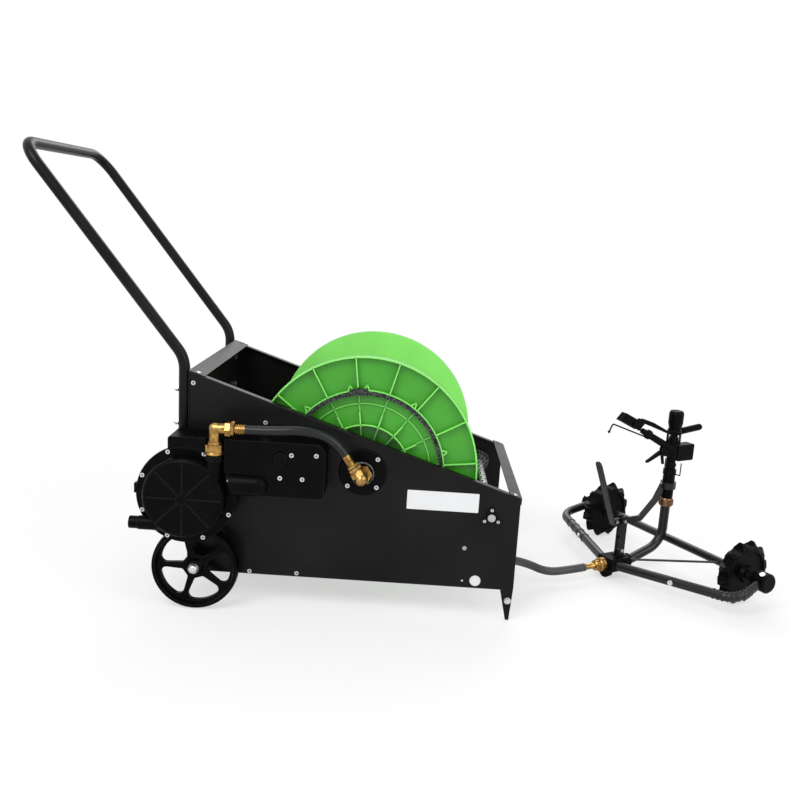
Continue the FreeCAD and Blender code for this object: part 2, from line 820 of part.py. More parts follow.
def hose_guide():
    """Carriage on the level-wind screw, with an eye that the hose runs through."""
    y = guide_y
    half = guide_width / 2
    eye = hose_radius + eye_gap
    block = box(screw_x - 17, screw_x + 17, y - half, y + half, screw_z - 18, screw_z + 18)
    block = block.makeFillet(4, [e for e in block.Edges if abs(e.tangentAt(0).y) > 0.9])
    plate = slab([(-half, guide_hose_z - eye - 6, 10), (half, guide_hose_z - eye - 6, 10),
                  (half, screw_z - 12), (-half, screw_z - 12)],
                 V(guide_hose_x - 3, y, 0), Y, Z, 6)
    arm = box(guide_rod_x - 10, guide_hose_x, y - 7, y + 7, guide_rod_z - 9, guide_rod_z + 9)
    centre = V(guide_hose_x, y, guide_hose_z)
    ring = rod(centre - X * 9, centre + X * 9, eye + 4)
    holes = [rod(V(screw_x, y - half - 1, screw_z), V(screw_x, y + half + 1, screw_z),
                 lead_radius + running_gap),
             rod(V(guide_rod_x, y - 9, guide_rod_z), V(guide_rod_x, y + 9, guide_rod_z),
                 guide_rod_radius + running_gap),
             rod(centre - X * 20, centre + X * 20, eye)]
    return joined([block, plate, arm, ring]).cut(Part.makeCompound(holes))


def chain_sprocket(x, z, bore):
    """Small chain wheel on the left side."""
    centre = V(x, chain_line_y, z)
    wheel = toothed(chain_sprocket_teeth, chain_sprocket_radius, 0.0, 4.0, 5.0, (0.6, 0.3), centre, Y)
    return wheel.cut(rod(centre - Y, centre + Y * 9, bore + fixed_gap))


def level_wind_chain():
    """Endless chain from the reel's axle to the level-wind screw, as a plain band."""
    a, b = V(reel_x, chain_line_y, reel_z), V(screw_x, chain_line_y, screw_z)
    run = unit(b - a)
    side = V(-run.z, 0, run.x)
    loops = []
    for radius in (chain_sprocket_radius + 5.0, chain_sprocket_radius + 0.3):
        edges = [Part.makeLine(a + side * radius, b + side * radius),
                 Part.Arc(b + side * radius, b + run * radius, b - side * radius).toShape(),
                 Part.makeLine(b - side * radius, a - side * radius),
                 Part.Arc(a - side * radius, a - run * radius, a + side * radius).toShape()]
        loops.append(Part.Face(Part.Wire(edges)).extrude(Y * 5))
    return loops[0].cut(loops[1])


def drive_outline(inset):
    """Outline of the gear housing, moved inward by the inset."""
    left, right = drive_left + inset, drive_right - inset
    low, high = drive_low + inset, drive_high - inset
    return [(left, low, 6), (right, low, 9), (right, high, drive_corner - inset), (left, high, 6)]


def turbine_room(extra):
    """Space that the turbine and its outlet port take out of the gear housing."""
    back = turbine_back_y + extra
    room = rod(V(turbine_x, drive_y - 40, turbine_z), V(turbine_x, back, turbine_z),
               turbine_flange_radius + shaft_gap + extra)
    return joined([room, rod(V(port_x, port_y, turbine_z + 50), V(port_x, port_y, drive_high + 9),
                             port_radius + 5.5 + extra)])


def gear_housing():
    """Closed tray on the right panel, with a round lobe behind the turbine for its shaft."""
    back, front = -half_width - 0.2, drive_y + cover_thickness
    w = drive_wall
    shaft_foot = V(turbine_x, turbine_back_y, turbine_z)
    lobe = rod(shaft_foot, V(turbine_x, back, turbine_z), lobe_radius)
    tray = side_plate(drive_outline(0), front, back).cut(turbine_room(0)).fuse(lobe)
    hollow = side_plate(drive_outline(w), front - 1, back - w).cut(turbine_room(w))
    lobe_hollow = rod(shaft_foot + Y * w, V(turbine_x, back - w, turbine_z), lobe_radius - w)
    holes = [hollow.fuse(lobe_hollow),
             rod(V(output_x, back - w - 1, output_z), V(output_x, back + 1, output_z),
                 output_shaft_radius + running_gap),
             rod(shaft_foot - Y, shaft_foot + Y * (w + 1), 6 + running_gap)]
    for hole in holes:
        tray = tray.cut(hole)
    return tray


def gear_cover():
    """Front plate of the gear housing, with a bearing boss and a half-round bulge."""
    plate = side_plate(drive_outline(0), drive_y, drive_y + cover_thickness)
    boss = turned([(drive_y - 7, 0), (drive_y - 7, boss_radius - 5), (drive_y, boss_radius),
                   (drive_y + 1, boss_radius), (drive_y + 1, 0)], V(boss_x, 0, boss_z))
    end = V(bulge_x, drive_y + 2, bulge_z)
    bulge = joined([rod(end - X * 64, end, bulge_radius), Part.makeSphere(bulge_radius, end)])
    front_only = box(drive_left, drive_right, drive_y - 60, drive_y + 1, drive_low - 20, drive_high)
    cover = joined([plate, boss, bulge.common(front_only)]).cut(turbine_room(0))
    return cover.cut(rod(V(output_x, drive_y + 1, output_z), V(output_x, drive_y + 9, output_z),
                         output_shaft_radius + running_gap))


def turbine_housing():
    """Turbine back shell: round body, bolting flange and a lug."""
    front, back = turbine_y, turbine_y + turbine_back
    centre = V(turbine_x, 0, turbine_z)
    r = turbine_body_radius
    w = turbine_wall
    body = turned([(front, 0), (front, turbine_flange_radius),
                   (front + turbine_flange, turbine_flange_radius),
                   (front + turbine_flange, turbine_back_radius), (back, turbine_back_radius - 4, 8),
                   (back, 0)], centre)
    lug = box(turbine_x - turbine_flange_radius - 6, turbine_x - r + 6, front, front + 14,
              turbine_z - 4, turbine_z + 18)
    body = joined([body, lug])
    low = turbine_back_radius - w
    hollow = turned([(front - 1, 0), (front - 1, r - w), (front + 2.5, r - w), (front + 2.5, low),
                     (back - w, low - 4, 6), (back - w, 0)], centre)
    shaft = rod(V(turbine_x, back - w - 1, turbine_z), V(turbine_x, back + 1, turbine_z),
                6 + running_gap)
    return body.cut(joined([hollow, shaft]))


def turbine_cover():
    """Domed front of the turbine, with ribs, hub, inlet spigot and outlet port."""
    y, front, r, w = turbine_y, cover_front_y, turbine_body_radius, turbine_wall
    centre = V(turbine_x, 0, turbine_z)
    shell = turned([(y, 0), (y, turbine_flange_radius), (y - 5, turbine_flange_radius), (y - 5, r),
                    (front, r - 4, 13), (front, 0)], centre)
    port = joined([rod(V(port_x, port_y, turbine_z + 20), V(port_x, port_y, port_top), port_radius),
                   hexagon(V(port_x, port_y, port_top - 14), Z, 2.1 * port_radius, 8)])
    spigot_y = y - turbine_cover_height / 2 + 1
    spigot = joined([rod(V(spigot_end, spigot_y, spigot_z),
                         V(spigot_end + spigot_length + 1, spigot_y, spigot_z), spigot_radius),
                     rod(V(spigot_end + spigot_length, spigot_y, spigot_z),
                         V(turbine_x - 20, spigot_y, spigot_z), spigot_radius + 1.5)])
    hub = turned([(front + 1, 0), (front + 1, 15), (front - 6, 12), (front - 6, 0)], centre)
    rib = box(turbine_x + 10, turbine_x + r - 10, front - 2.5, front + 1, turbine_z - 1.5,
              turbine_z + 1.5)
    body = joined([shell, port, spigot, hub] + around(rib, 8, centre, Y))
    hollow = turned([(y + 1, 0), (y + 1, r - w), (front + w, r - w - 4, 10), (front + w, 0)], centre)
    ways = [hollow,
            rod(V(port_x, port_y, turbine_z + 30), V(port_x, port_y, port_top + 1), port_radius - 4),
            rod(V(spigot_end - 1, spigot_y, spigot_z), V(turbine_x - 30, spigot_y, spigot_z),
                spigot_bore)]
    for way in ways:
        body = body.cut(way)
    return body


def turbine_rotor():
    """Runner with curved blades between a disc and a hub."""
    y = turbine_y
    centre = V(turbine_x, 0, turbine_z)
    bore = 6 + fixed_gap
    disc = turned([(y - 2, bore), (y - 2, rotor_radius), (y + 1, rotor_radius), (y + 1, 16),
                   (y + 16, 16), (y + 16, bore)], centre)
    hub = turned([(y - 30, bore), (y - 30, 12), (y - 1, 18), (y - 1, bore)], centre)
    blade = slab([(14, -1.2), (rotor_radius, 12), (rotor_radius, 15), (14, 1.8)],
                 centre + Y * (y - 1.5), X, Z, 26)
    return joined([disc, hub] + around(blade, rotor_blades, centre, Y))


def rotor_shaft():
    """Shaft of the turbine rotor, into the gear housing."""
    centre = V(turbine_x, 0, turbine_z)
    return rod(centre + Y * (turbine_y - 32), centre + Y * (turbine_y + turbine_back + 8), 6)


def brass_elbow():
    """Swivel nut, round-shouldered elbow and ringed barb on the turbine's outlet port."""
    corner = V(port_x, port_y, elbow_z)
    seat = V(port_x, port_y, port_top + 0.3)
    spigot = rod(seat - Z * 12, seat + Z, port_radius - 4 - running_gap)
    body = joined([spigot, hexagon(seat, Z, brass_nut_flats, 20), rod(seat + Z * 20, seat + Z * 26, 15),
                   rod(seat + Z * 20, corner, elbow_radius), rod(corner, corner + X * 36, elbow_radius),
                   Part.makeSphere(elbow_radius, corner), hexagon(corner + X * 24, X, 28, 11),
                   barb(corner + X * 34, X, elbow_reach + barb_in_hose - 34)])
    ways = joined([rod(seat - Z * 20, corner, 7), rod(corner, corner + X * 120, 5),
                   Part.makeSphere(7, corner)])
    return body.cut(ways)


def barb(start, along, length):
    """Hose tail with sharp rings."""
    count = int(length / 8)
    step = (length - 3) / count
    ring = barb_radius + barb_ring
    profile = [(0, 0), (0, ring)]
    for k in range(count):
        profile += [(3 + k * step, ring), (3 + (k + 0.9) * step, barb_radius)]
    profile += [(length, barb_radius), (length, 0)]
    return turned(profile, start, along)


def swivel_elbow():
    """Brass swivel in the reel's axle, with a barb towards the feed hose."""
    out = V(reel_x, -half_width - bearing_plate - 4.3, reel_z)
    corner = V(reel_x, feed_y, reel_z)
    direction = feed_direction()
    body = joined([rod(out - Y, out + Y * 18, axle_bore - running_gap), hexagon(out, -Y, 40, 14),
                   rod(out, corner, 15), Part.makeSphere(15, corner),
                   hexagon(corner + direction * 10, direction, 26, 12),
                   rod(corner, corner + direction * 24, 12),
                   barb(corner + direction * 22, direction, feed_reach + barb_in_hose - 22)])
    ways = joined([rod(out + Y * 19, corner, 7), Part.makeSphere(7, corner),
                   rod(corner, corner + direction * 120, 5)])
    return body.cut(ways)


def feed_direction():
    turn = math.radians(feed_turn)
    return V(math.cos(turn), 0, math.sin(turn))


def feed_hose():
    """Hose from the turbine's elbow to the axle's swivel, over both barbs."""
    end = V(reel_x, feed_y, reel_z) + feed_direction() * feed_reach
    points = [V(port_x + elbow_reach, port_y, elbow_z)] + [V(*p) for p in feed_route]
    points += [end + feed_direction() * feed_last, end]
    wire, used = route(points)
    print("feed hose radii", [round(r) for r in used], "length", round(wire.Length))
    return swept(wire, hose_radius).cut(swept(wire, hose_bore))


def towing_points():
    """Route of the free hose, from the drum to the fitting on the trolley's nose."""
    leave, along = winding_point(0)
    nose = V(hub_ahead + 22.3 + coupling_length, 0, hub_z)
    ends = Part.makeLine(nose + X * last_run, nose)
    ends.rotate(V(0, 0, 0), Z, trolley_turn)
    ends.translate(V(trolley_x, trolley_y, 0))
    return ([leave + along * (2 * hose_radius + layer_gap)]
            + [V(x, leave_y + y, z) for x, y, z in guide_route] + [V(*p) for p in towing_route]
            + [v.Point for v in ends.Vertexes])


def towing_hose():
    """Free hose from the reel through the guide's eye to the trolley."""
    wire, used = route(towing_points())
    print("towing hose radii", [round(r) for r in used], "length", round(wire.Length))
    tube = swept(wire, hose_radius)
    print("towing hose volume ratio", round(tube.Volume / (math.pi * hose_radius ** 2 * wire.Length), 4))
    return tube


def screw_places():
    """Point, outward direction and sizes of every screw on the cart."""
    out = -Y
    face = -half_width
    pairs = []
    for dx in (-1, 1):
        for dz in (-1, 1):
            pairs.append((V(reel_x + dx * bearing_screw_offset, face - bearing_plate,
                            reel_z + dz * bearing_screw_offset), out))
    for k in range(3):
        turn = 2 * math.pi * k / 3 + math.pi / 2
        pairs.append((V(screw_x + lobe_offset * math.cos(turn), face - 4,
                        screw_z + lobe_offset * math.sin(turn)), out, 2.0, 3.6))
    pairs += [(V(x, face, z), out) for x, z in panel_rivets]
    for x in (rear_bar_width / 2, body_length - bar_lip):
        pairs.append((V(x, face + bar_lip / 2, top_of_panel(x)) + slope_up * sheet, slope_up))
    places = list(pairs)
    for place in pairs:
        point, outward = place[:2]
        places.append((V(point.x, -point.y, point.z), V(outward.x, -outward.y, outward.z)) + place[2:])
    places += [(V(x, drive_y, z), out) for x, z in cover_screws]
    for k in range(turbine_screws):
        turn = 2 * math.pi * (k + 0.5) / turbine_screws
        places.append((V(turbine_x + turbine_screw_circle * math.cos(turn), turbine_y - 5,
                         turbine_z + turbine_screw_circle * math.sin(turn)), out))
    return places


def screw_hole(point, outward, radius=screw_radius, head=screw_head, grip=8.0):
    """Room for a screw's shank."""
    out = unit(outward)
    return rod(point - out * (grip + 0.5), point + out, radius + fixed_gap)


def in_trolley(shape):
    """Move a shape from the trolley's own frame, +X ahead and +Y its left, into the part."""
    moved = shape.copy()
    moved.rotate(V(0, 0, 0), Z, trolley_turn)
    moved.translate(V(trolley_x, trolley_y, 0))
    return moved


def frame_arm(side, extra=0.0):
    """Swept arm of the frame, from the axle's cap round the corner to the nose."""
    points = [V(22, side * (corner_side - 11), spindle_z + (corner_z - spindle_z) * 0.22),
              V(corner_ahead, side * corner_side, corner_z),
              V(hub_ahead, side * (hub_half_width - 12), hub_z)]
    wire = route(points, [46.0])[0]
    return wire, swept(wire, frame_radius + extra)


def frame_brace(side, extra=0.0):
    """Thin rod from the nose to the axle."""
    return rod(V(hub_ahead - 50, side * 14, hub_z + 8), V(9, side * 185, spindle_z), 3 + extra)


def bead(at, along, half, height):
    """Rounded ring round a frame tube."""
    low = frame_radius - 0.5
    return turned([(-half, 0), (-half, low), (0, frame_radius + height, half * 0.6), (half, low),
                   (half, 0)], at, along)


def trolley_frame():
    """Two swept arms with pressed rings, and two brace rods. Right bend and left arm differ."""
    solids = []
    for side in (-1, 1):
        wire, arm = frame_arm(side)
        step = wrinkle_step if side > 0 else bump_step
        marks = wire.discretize(Distance=step)
        chosen = range(3, 12) if side > 0 else range(4, 8)
        rings = [bead(marks[k], unit(marks[k + 1] - marks[k - 1]), 4, 2) for k in chosen]
        solids.append(joined([arm] + rings))
        solids.append(frame_brace(side))
    return Part.makeCompound(solids)


def trolley_axle():
    """Axle tube between the wheels, with a spindle through each wheel into its cap."""
    reach = track / 2 - spiked_width / 2 - 3
    end = cap_inner + 20
    outside = track / 2 + spiked_width / 2 + 0.5
    solids = [rod(V(0, -reach, spindle_z), V(0, reach, spindle_z), trolley_axle_radius),
              rod(V(0, -end, spindle_z), V(0, end, spindle_z), spindle_radius)]
    for side in (-1, 1):
        solids.append(rod(V(0, side * outside, spindle_z), V(0, side * cap_inner, spindle_z), 12))
    braces = [frame_brace(side, fixed_gap) for side in (-1, 1)]
    return joined(solids).cut(Part.makeCompound(braces))


def spiked_wheel(side):
    """Wheel with a ring of hooked spikes that thin out to their tips, and a stepped hub."""
    centre = V(0, side * track / 2, spindle_z)
    half = spiked_width / 2
    corners = []
    step = 2 * math.pi / spikes
    for k in range(spikes):
        at = k * step + step / 2
        for turn, radius in ((-0.36, tread_radius), (-0.1, spiked_radius - 2), (0.0, spiked_radius),
                             (0.12, tread_radius + 5), (0.3, tread_radius)):
            angle = at + turn * step - math.pi / 2
            corners.append((radius * math.cos(angle), radius * math.sin(angle)))
    star = slab(corners, centre - Y * half, Z, X, spiked_width)
    bore = spindle_radius + running_gap
    lens = turned([(-half, bore), (-half, 20), (-half + 8, 24), (-half + 8, tread_radius - 10),
                   (-half + 1, tread_radius - 6), (-half + 3, tread_radius + 4),
                   (-2.5, spiked_radius + 1), (2.5, spiked_radius + 1), (half - 3, tread_radius + 4),
                   (half - 1, tread_radius - 6), (half - 8, tread_radius - 10), (half - 8, 24),
                   (half, 20), (half, bore)], centre)
    return star.common(lens)


def axle_caps():
    """Round cap over each end of the axle, in which the arm of the frame ends."""
    bore = spindle_radius + fixed_gap
    profile = [(cap_inner, bore), (cap_inner, cap_radius - 3), (cap_inner + 3, cap_radius),
               (cap_inner + cap_length - 4, cap_radius), (cap_inner + cap_length, cap_radius - 4),
               (cap_inner + cap_length, 0), (cap_inner + 20, 0), (cap_inner + 20, bore)]
    solids = []
    for side in (-1, 1):
        cap = turned([(side * p[0], p[1]) for p in profile], V(0, 0, spindle_z))
        solids.append(cap.cut(frame_arm(side, fixed_gap)[1]))
    return Part.makeCompound(solids)


def nose_hub():
    """Block that joins the arms, the water pipe and the skid plate at the nose."""
    block = box(hub_ahead - 46, hub_ahead + 16, -hub_half_width, hub_half_width, hub_z - 17,
                hub_z + 19)
    block = block.makeFillet(8, [e for e in block.Edges if abs(e.tangentAt(0).x) > 0.9])
    socket = rod(V(hub_ahead - 62, 0, hub_z), V(hub_ahead + 22, 0, hub_z), 18.5)
    wide = skid_width / 2
    skid = slab([(-wide, hub_z + 6, 8), (-wide + 6, 14, 14), (-6, 0, 5), (6, 0, 5),
                 (wide - 6, 14, 14), (wide, hub_z + 6, 8), (0, hub_z + 24, 30)],
                V(skid_ahead - 7, 0, 0), Y, Z, 5)
    body = joined([block, socket, skid])
    cuts = [rod(V(hub_ahead - 63, 0, hub_z), V(skid_ahead + 9, 0, hub_z), riser_radius + fixed_gap)]
    for side in (-1, 1):
        cuts += [frame_arm(side, fixed_gap)[1], frame_brace(side, fixed_gap)]
    return body.cut(Part.makeCompound(cuts))


def hose_coupling():
    """Brass fitting in front of the nose: nipple in the pipe, round nut and ringed tail."""
    start = hub_ahead + 22.3
    nut = turned([(start, 0), (start, 17), (start + 3, 18.5), (start + 16, 18.5), (start + 19, 16),
                  (start + 19, 14), (start + 30, 14), (start + 33, 11), (start + 33, 0)],
                 V(0, 0, hub_z), X)
    nipple = rod(V(start - 14, 0, hub_z), V(start + 1, 0, hub_z), riser_radius - 2 - fixed_gap)
    tail = barb(V(start + 31, 0, hub_z), X, coupling_length - 31)
    bore = rod(V(start - 15, 0, hub_z), V(start + 90, 0, hub_z), 5)
    return joined([nut, nipple, tail]).cut(bore)


def riser_pipe():
    """Water pipe from the nose, back and up to the sprinkler."""
    points = [V(hub_ahead + 20, 0, hub_z), V(hub_ahead - 70, 0, hub_z), V(riser_a, 0, riser_low),
              V(riser_a, 0, riser_top)]
    return bent_tube(points, riser_radius, [50.0, 62.0], 2.0)


def riser_nut():
    """Brass ring nut on top of the riser."""
    z = riser_top - 4
    bore = riser_radius + fixed_gap
    ring = turned([(z, bore), (z, 16), (z + 3, 18), (z + 20, 18), (z + 23, 16), (z + 23, 10),
                   (riser_top, 10), (riser_top, bore)], V(riser_a, 0, 0), Z)
    grip = box(riser_a + 17.3, riser_a + 19.5, -1.5, 1.5, z + 4, z + 19)
    return joined([ring] + around(grip, 12, V(riser_a, 0, 0), Z))


def support_post():
    """Twin upright plates on the nose, with a foot and a spacer."""
    solids = []
    for side in (-1, 1):
        solids.append(slab([(post_a - 9, post_low - 3), (post_a + 9, post_low - 3),
                            (post_a + 9, post_top, 5), (post_a - 9, post_top, 5)],
                           V(0, side * 8 + 1.5, 0), X, Z, 3))
    solids.append(box(post_a - 14, post_a + 14, -13, 13, post_low - 3, post_low))
    solids.append(rod(V(post_a, -8, post_low + 45), V(post_a, 8, post_low + 45), 4))
    return drilled(joined(solids))


def riser_stay():
    """Flat bar from the post to a collar on the sprinkler's sleeve."""
    bar = slab([(stay_front, stay_z - 8, 4), (110, stay_z - 8, 10), (57, 193, 10), (38, 228),
                (40, 246), (52, 243), (74, 203, 10), (118, stay_z + 8, 10), (stay_front, stay_z + 8, 4)],
               V(0, 3, 0), X, Z, 6)
    axis = V(riser_a, 0, 0)
    ring = pipe(axis + Z * 228, axis + Z * 246, column_radius + 5, column_radius + fixed_gap)
    bar = bar.cut(rod(axis + Z * 200, axis + Z * 260, column_radius + 1))
    return drilled(joined([ring, bar]))


def stop_bar():
    """Leaning flat bar that meets the cart when the trolley comes home."""
    lean = unit(V(72, 0, 173))
    bar = slab([(-11, 0, 4), (11, 0, 4), (11, bar_length, 10.5), (-11, bar_length, 10.5)],
               V(stay_front - 2, 0, stay_z - 8), Y, lean, 4)
    tab = box(stay_front - 13, stay_front + 4, 3.05, 6.05, stay_z - 7, stay_z + 7)
    behind = box(stay_front - 30, stay_front + 0.1, -3.05, 3.05, stay_z - 20, stay_z + 8.1)
    return drilled(joined([bar, tab]).cut(behind))


def trolley_screw_places():
    """Point, outward direction and sizes of the trolley's bolts."""
    places = []
    for side in (-1, 1):
        arm = V(hub_ahead, side * (hub_half_width - 12), hub_z)
        corner = V(corner_ahead, side * corner_side, corner_z)
        normal = unit(V(-(corner - arm).y * side, (corner - arm).x * side, 0))
        normal = normal if normal.x > 0 else normal * -1
        places.append(((arm + corner) * 0.5 + normal * frame_radius, normal, 3.0, 7.0))
        high = V(0.5, 0, math.sqrt(0.75))
        places.append((V(0, side * (cap_inner + 28), spindle_z) + high * cap_radius, high, 3.0, 7.0))
        for z in (post_low + 12, stay_z):
            places.append((V(post_a, side * 9.5, z), Y * side, 2.5, 4.5, 9.4))
    places.append((V(stay_front - 7, 6.05, stay_z), Y, 2.5, 4.5))
    return places


def drilled(shape):
    """Shape with room for the trolley's bolts."""
    return shape.cut(Part.makeCompound([screw_hole(*place) for place in trolley_screw_places()]))


def sprinkler_base():
    """Bearing sleeve on the riser nut, with grooves and a narrow neck for the trip collars."""
    low = riser_top + 19
    r = column_radius
    profile = [(low, 9 + running_gap), (low, r - 2), (low + 3, r), (low + 30, r), (low + 32, r - 1.5),
               (low + 36, r - 1.5), (low + 38, r), (sleeve_top - 18, r), (sleeve_top - 14, r - 2.5),
               (sleeve_top + 10, r - 2.5), (sleeve_top + 10, 9 + running_gap)]
    return turned(profile, V(riser_a, 0, 0), Z)


def trip_collars():
    """Two spring wire collars on the sleeve's neck, with ends that stop the trip lever."""
    solids = []
    for k, angle in ((0, stop_angle), (1, -stop_angle)):
        z = sleeve_top - 13 + 8 * k
        ring = pipe(V(riser_a, 0, z), V(riser_a, 0, z + 6), column_radius + 1.5, column_radius - 2.3)
        end = rod(V(riser_a + column_radius, 0, z + 3), V(riser_a + column_radius + 14, 0, z + 3), 1.5)
        up = rod(V(riser_a + column_radius + 14, 0, z + 3),
                 V(riser_a + column_radius + 14, 0, sleeve_top + 24), 1.5)
        ball = Part.makeSphere(1.5, V(riser_a + column_radius + 14, 0, z + 3))
        wire = joined([end, up, ball])
        wire.rotate(V(riser_a, 0, 0), Z, angle)
        solids.append(joined([ring, wire]))
    return Part.makeCompound(solids)


def barrel_point(reach):
    turn = math.radians(barrel_angle)
    return V(riser_a + reach * math.cos(turn), 0, barrel_root + reach * math.sin(turn))


def sprinkler_body():
    """Turning head: stem, housing, barrel and nozzle, rear box, and the arm's pin and struts."""
    axis = V(riser_a, 0, 0)
    head = turned([(sleeve_top - 50, 0), (sleeve_top - 50, 9), (body_low, 9), (body_low, 15),
                   (body_low + 6, 15), (body_low + 9, 12.5), (arm_low - 0.5, 12.5), (arm_low - 0.5, 0)],
                  axis, Z)
    start, end = barrel_point(0), barrel_point(barrel_length)
    long = barrel_length
    barrel = turned([(0, 0), (0, 10.5), (long - 34, 9), (long - 32, 10.5), (long - 22, 10.5),
                     (long - 20, 8.5), (long - 2, 7.5), (long, 6), (long, 0)], start, unit(end - start))
    rear = box(riser_a - 68, riser_a - 10, -13, 13, 305, 350)
    rear = rear.makeFillet(4, [e for e in rear.Edges if abs(e.tangentAt(0).y) > 0.9])
    pin = rod(axis + Z * (arm_low - 2), axis + Z * (cap_low + 6), arm_pivot_radius)
    strut = box(riser_a + 14, riser_a + 18.5, -4, 4, arm_low - 20, cap_low)
    web = box(riser_a + 8, riser_a + 18.5, -4, 4, arm_low - 20, arm_low - 10)
    roof = rod(axis + Z * (cap_low - 3.5), axis + Z * cap_low, 18.5)
    cheeks = []
    for y in (4.9, -2.4):
        cheeks.append(slab([(28, 316), (lever_a + 5, 323, 4), (lever_a + 5, 344), (40, 356)],
                           V(0, y, 0), X, Z, 2.5))
    hinge = rod(V(lever_a, -4, lever_z), V(lever_a, 4, lever_z), 2)
    body = joined([head, barrel, rear, pin, roof, hinge, jet_pin()] + cheeks
                  + around(joined([strut, web]), 2, axis, Z, 120))
    ways = [rod(barrel_point(4), barrel_point(long + 1), nozzle_bore),
            rod(axis + Z * (sleeve_top - 51), axis + Z * (barrel_root + 2), 5)]
    return body.cut(joined(ways))


def bonnet():
    """Cap over the arm's spring, with a shallow dished top."""
    z = cap_low
    return turned([(z, 11), (z, 15.5), (z + 18, bonnet_radius), (cap_top - 10, bonnet_radius),
                   (cap_top - 2, bonnet_radius - 3, 3), (cap_top - 4, 10), (cap_top - 4, 0),
                   (cap_top - 9, 0), (cap_top - 9, 12), (z + 4, 12), (z + 4, 11)], V(riser_a, 0, 0), Z)


def arm_spring():
    """Torsion spring of the drive arm, under the bonnet."""
    return pipe(V(riser_a, 0, cap_low), V(riser_a, 0, cap_low + 32), 9, 7.4)


def drive_arm():
    """Arm that the jet swings: hub, bar over the barrel, spoon with a square window, and a weight."""
    axis = V(riser_a, 0, 0)
    hub = rod(axis + Z * arm_low, axis + Z * arm_high, 10)
    bar = slab([(riser_a + 4, arm_low + 2), (110, 405, 10), (150, 419, 6), (150, 431, 6), (106, 416, 12),
                (riser_a + 22, arm_high - 0.5), (riser_a + 4, arm_high - 0.5)], V(0, 4, 0), X, Z, 8)
    walls = []
    for y in (9, -7):
        walls.append(slab([(143, 417), (161, 399), (229, 431), (211, 449)], V(0, y, 0), X, Z, 2))
    rear = slab([(143, 417), (148, 412), (158, 420), (152, 429)], V(0, 9, 0), X, Z, 18)
    lip = slab([(222, 434), (229, 431), (211, 449), (207, 447)], V(0, 9, 0), X, Z, 18)
    window = slab([(173, 420), (182, 411), (194, 417), (185, 426)], V(0, 10, 0), X, Z, 20)
    neck = slab([(riser_a - 4, arm_low + 1), (riser_a - 4, arm_high - 0.5), (riser_a - 21, arm_high - 0.5),
                 (-30, 394), (-30, 384)], V(0, -4, 0), X, Z, -8)
    weight = rod(V(-2, 0, 386), V(-66, 0, 393), 9)
    end = Part.makeSphere(9, V(-66, 0, 393))
    body = joined([hub, bar, rear, lip, neck, weight, end] + walls).cut(window)
    return body.cut(rod(axis + Z * 340, axis + Z * 400, arm_pivot_radius + running_gap))


def jet_pin():
    """Thin rod clamped round the barrel, bent in front of the jet."""
    clamp = pipe(barrel_point(barrel_length - 31), barrel_point(barrel_length - 24), 12.8,
                 10.5 + fixed_gap)
    points = [V(109, 0, 371.5), V(246, 0, 421), V(256, 0, 401)]
    stem = bent_tube(points, 2.0, [5.0])
    return joined([clamp, stem, Part.makeSphere(3.6, points[-1])])


def trip_lever():
    """Lever under the barrel that meets the collars' ends and reverses the head."""
    x, z = lever_a, lever_z
    blade = slab([(x - 6, z - 6, 4), (x + 8, z - 9), (x + 48, z - 26), (x + 54, z - 20), (x + 12, z + 4),
                  (x - 6, z + 6, 4)], V(0, 2, 0), X, Z, 4)
    knob = Part.makeSphere(4, V(x + 51, 0, z - 22))
    tail = slab([(50, sleeve_top + 18), (57, sleeve_top + 18), (x + 4, z - 2), (x - 5, z - 2)],
                V(0, 2, 0), X, Z, 4)
    pivot = V(x, 0, z)
    return joined([blade, knob, tail]).cut(rod(pivot - Y * 9, pivot + Y * 9, 2 + running_gap))


def cart_parts():
    parts = {}
    parts["right_side_panel"] = side_panel(True)
    parts["left_side_panel"] = side_panel(False)
    parts["rear_panel"] = rear_panel()
    parts["front_top_bar"] = front_top_bar()
    parts["cross_tubes"] = Part.makeCompound([lower_cross_tube(), guide_rod()])
    parts["tube_plugs"] = tube_plugs()
    parts["blank_plate"] = label_plate()
    parts["push_handle"] = push_handle()
    parts["handle_bolts"] = handle_bolts()
    parts["cart_wheel_right"] = cart_wheel(-1)
    parts["cart_wheel_left"] = cart_wheel(1)
    parts["wheel_axle"] = wheel_axle()
    parts["foot_spikes"] = foot_spikes()
    parts["reel_bearings"] = bearing_plates()
    parts["screw_bearings"] = lead_bearings()
    return parts


def drive_parts():
    parts = {}
    parts["gear_housing"] = gear_housing()
    parts["gear_cover"] = gear_cover()
    parts["turbine_housing"] = turbine_housing()
    parts["turbine_cover"] = turbine_cover()
    parts["turbine_rotor"] = turbine_rotor()
    parts["rotor_shaft"] = rotor_shaft()
    parts["output_shaft"] = output_shaft()
    parts["turbine_elbow"] = brass_elbow()
    parts["feed_hose"] = feed_hose()
    parts["swivel_elbow"] = swivel_elbow()
    return parts


def reel_parts():
    parts = {}
    parts["reel_flange_right"] = reel_flange(True)
    parts["reel_flange_left"] = reel_flange(False)
    parts["reel_core"] = reel_core()
    parts["reel_axle"] = reel_axle()
    parts["ring_chain"] = ring_chain()
    parts["lower_hose_layers"] = inner_hose()
    parts["wound_hose"] = wound_hose()
    parts["reel_sprocket"] = chain_sprocket(reel_x, reel_z, axle_radius)
    parts["screw_sprocket"] = chain_sprocket(screw_x, screw_z, lead_core)
    parts["level_wind_chain"] = level_wind_chain()
    parts["level_wind_screw"] = lead_screw()
    parts["hose_guide"] = hose_guide()
    parts["towing_hose"] = towing_hose()
    return parts


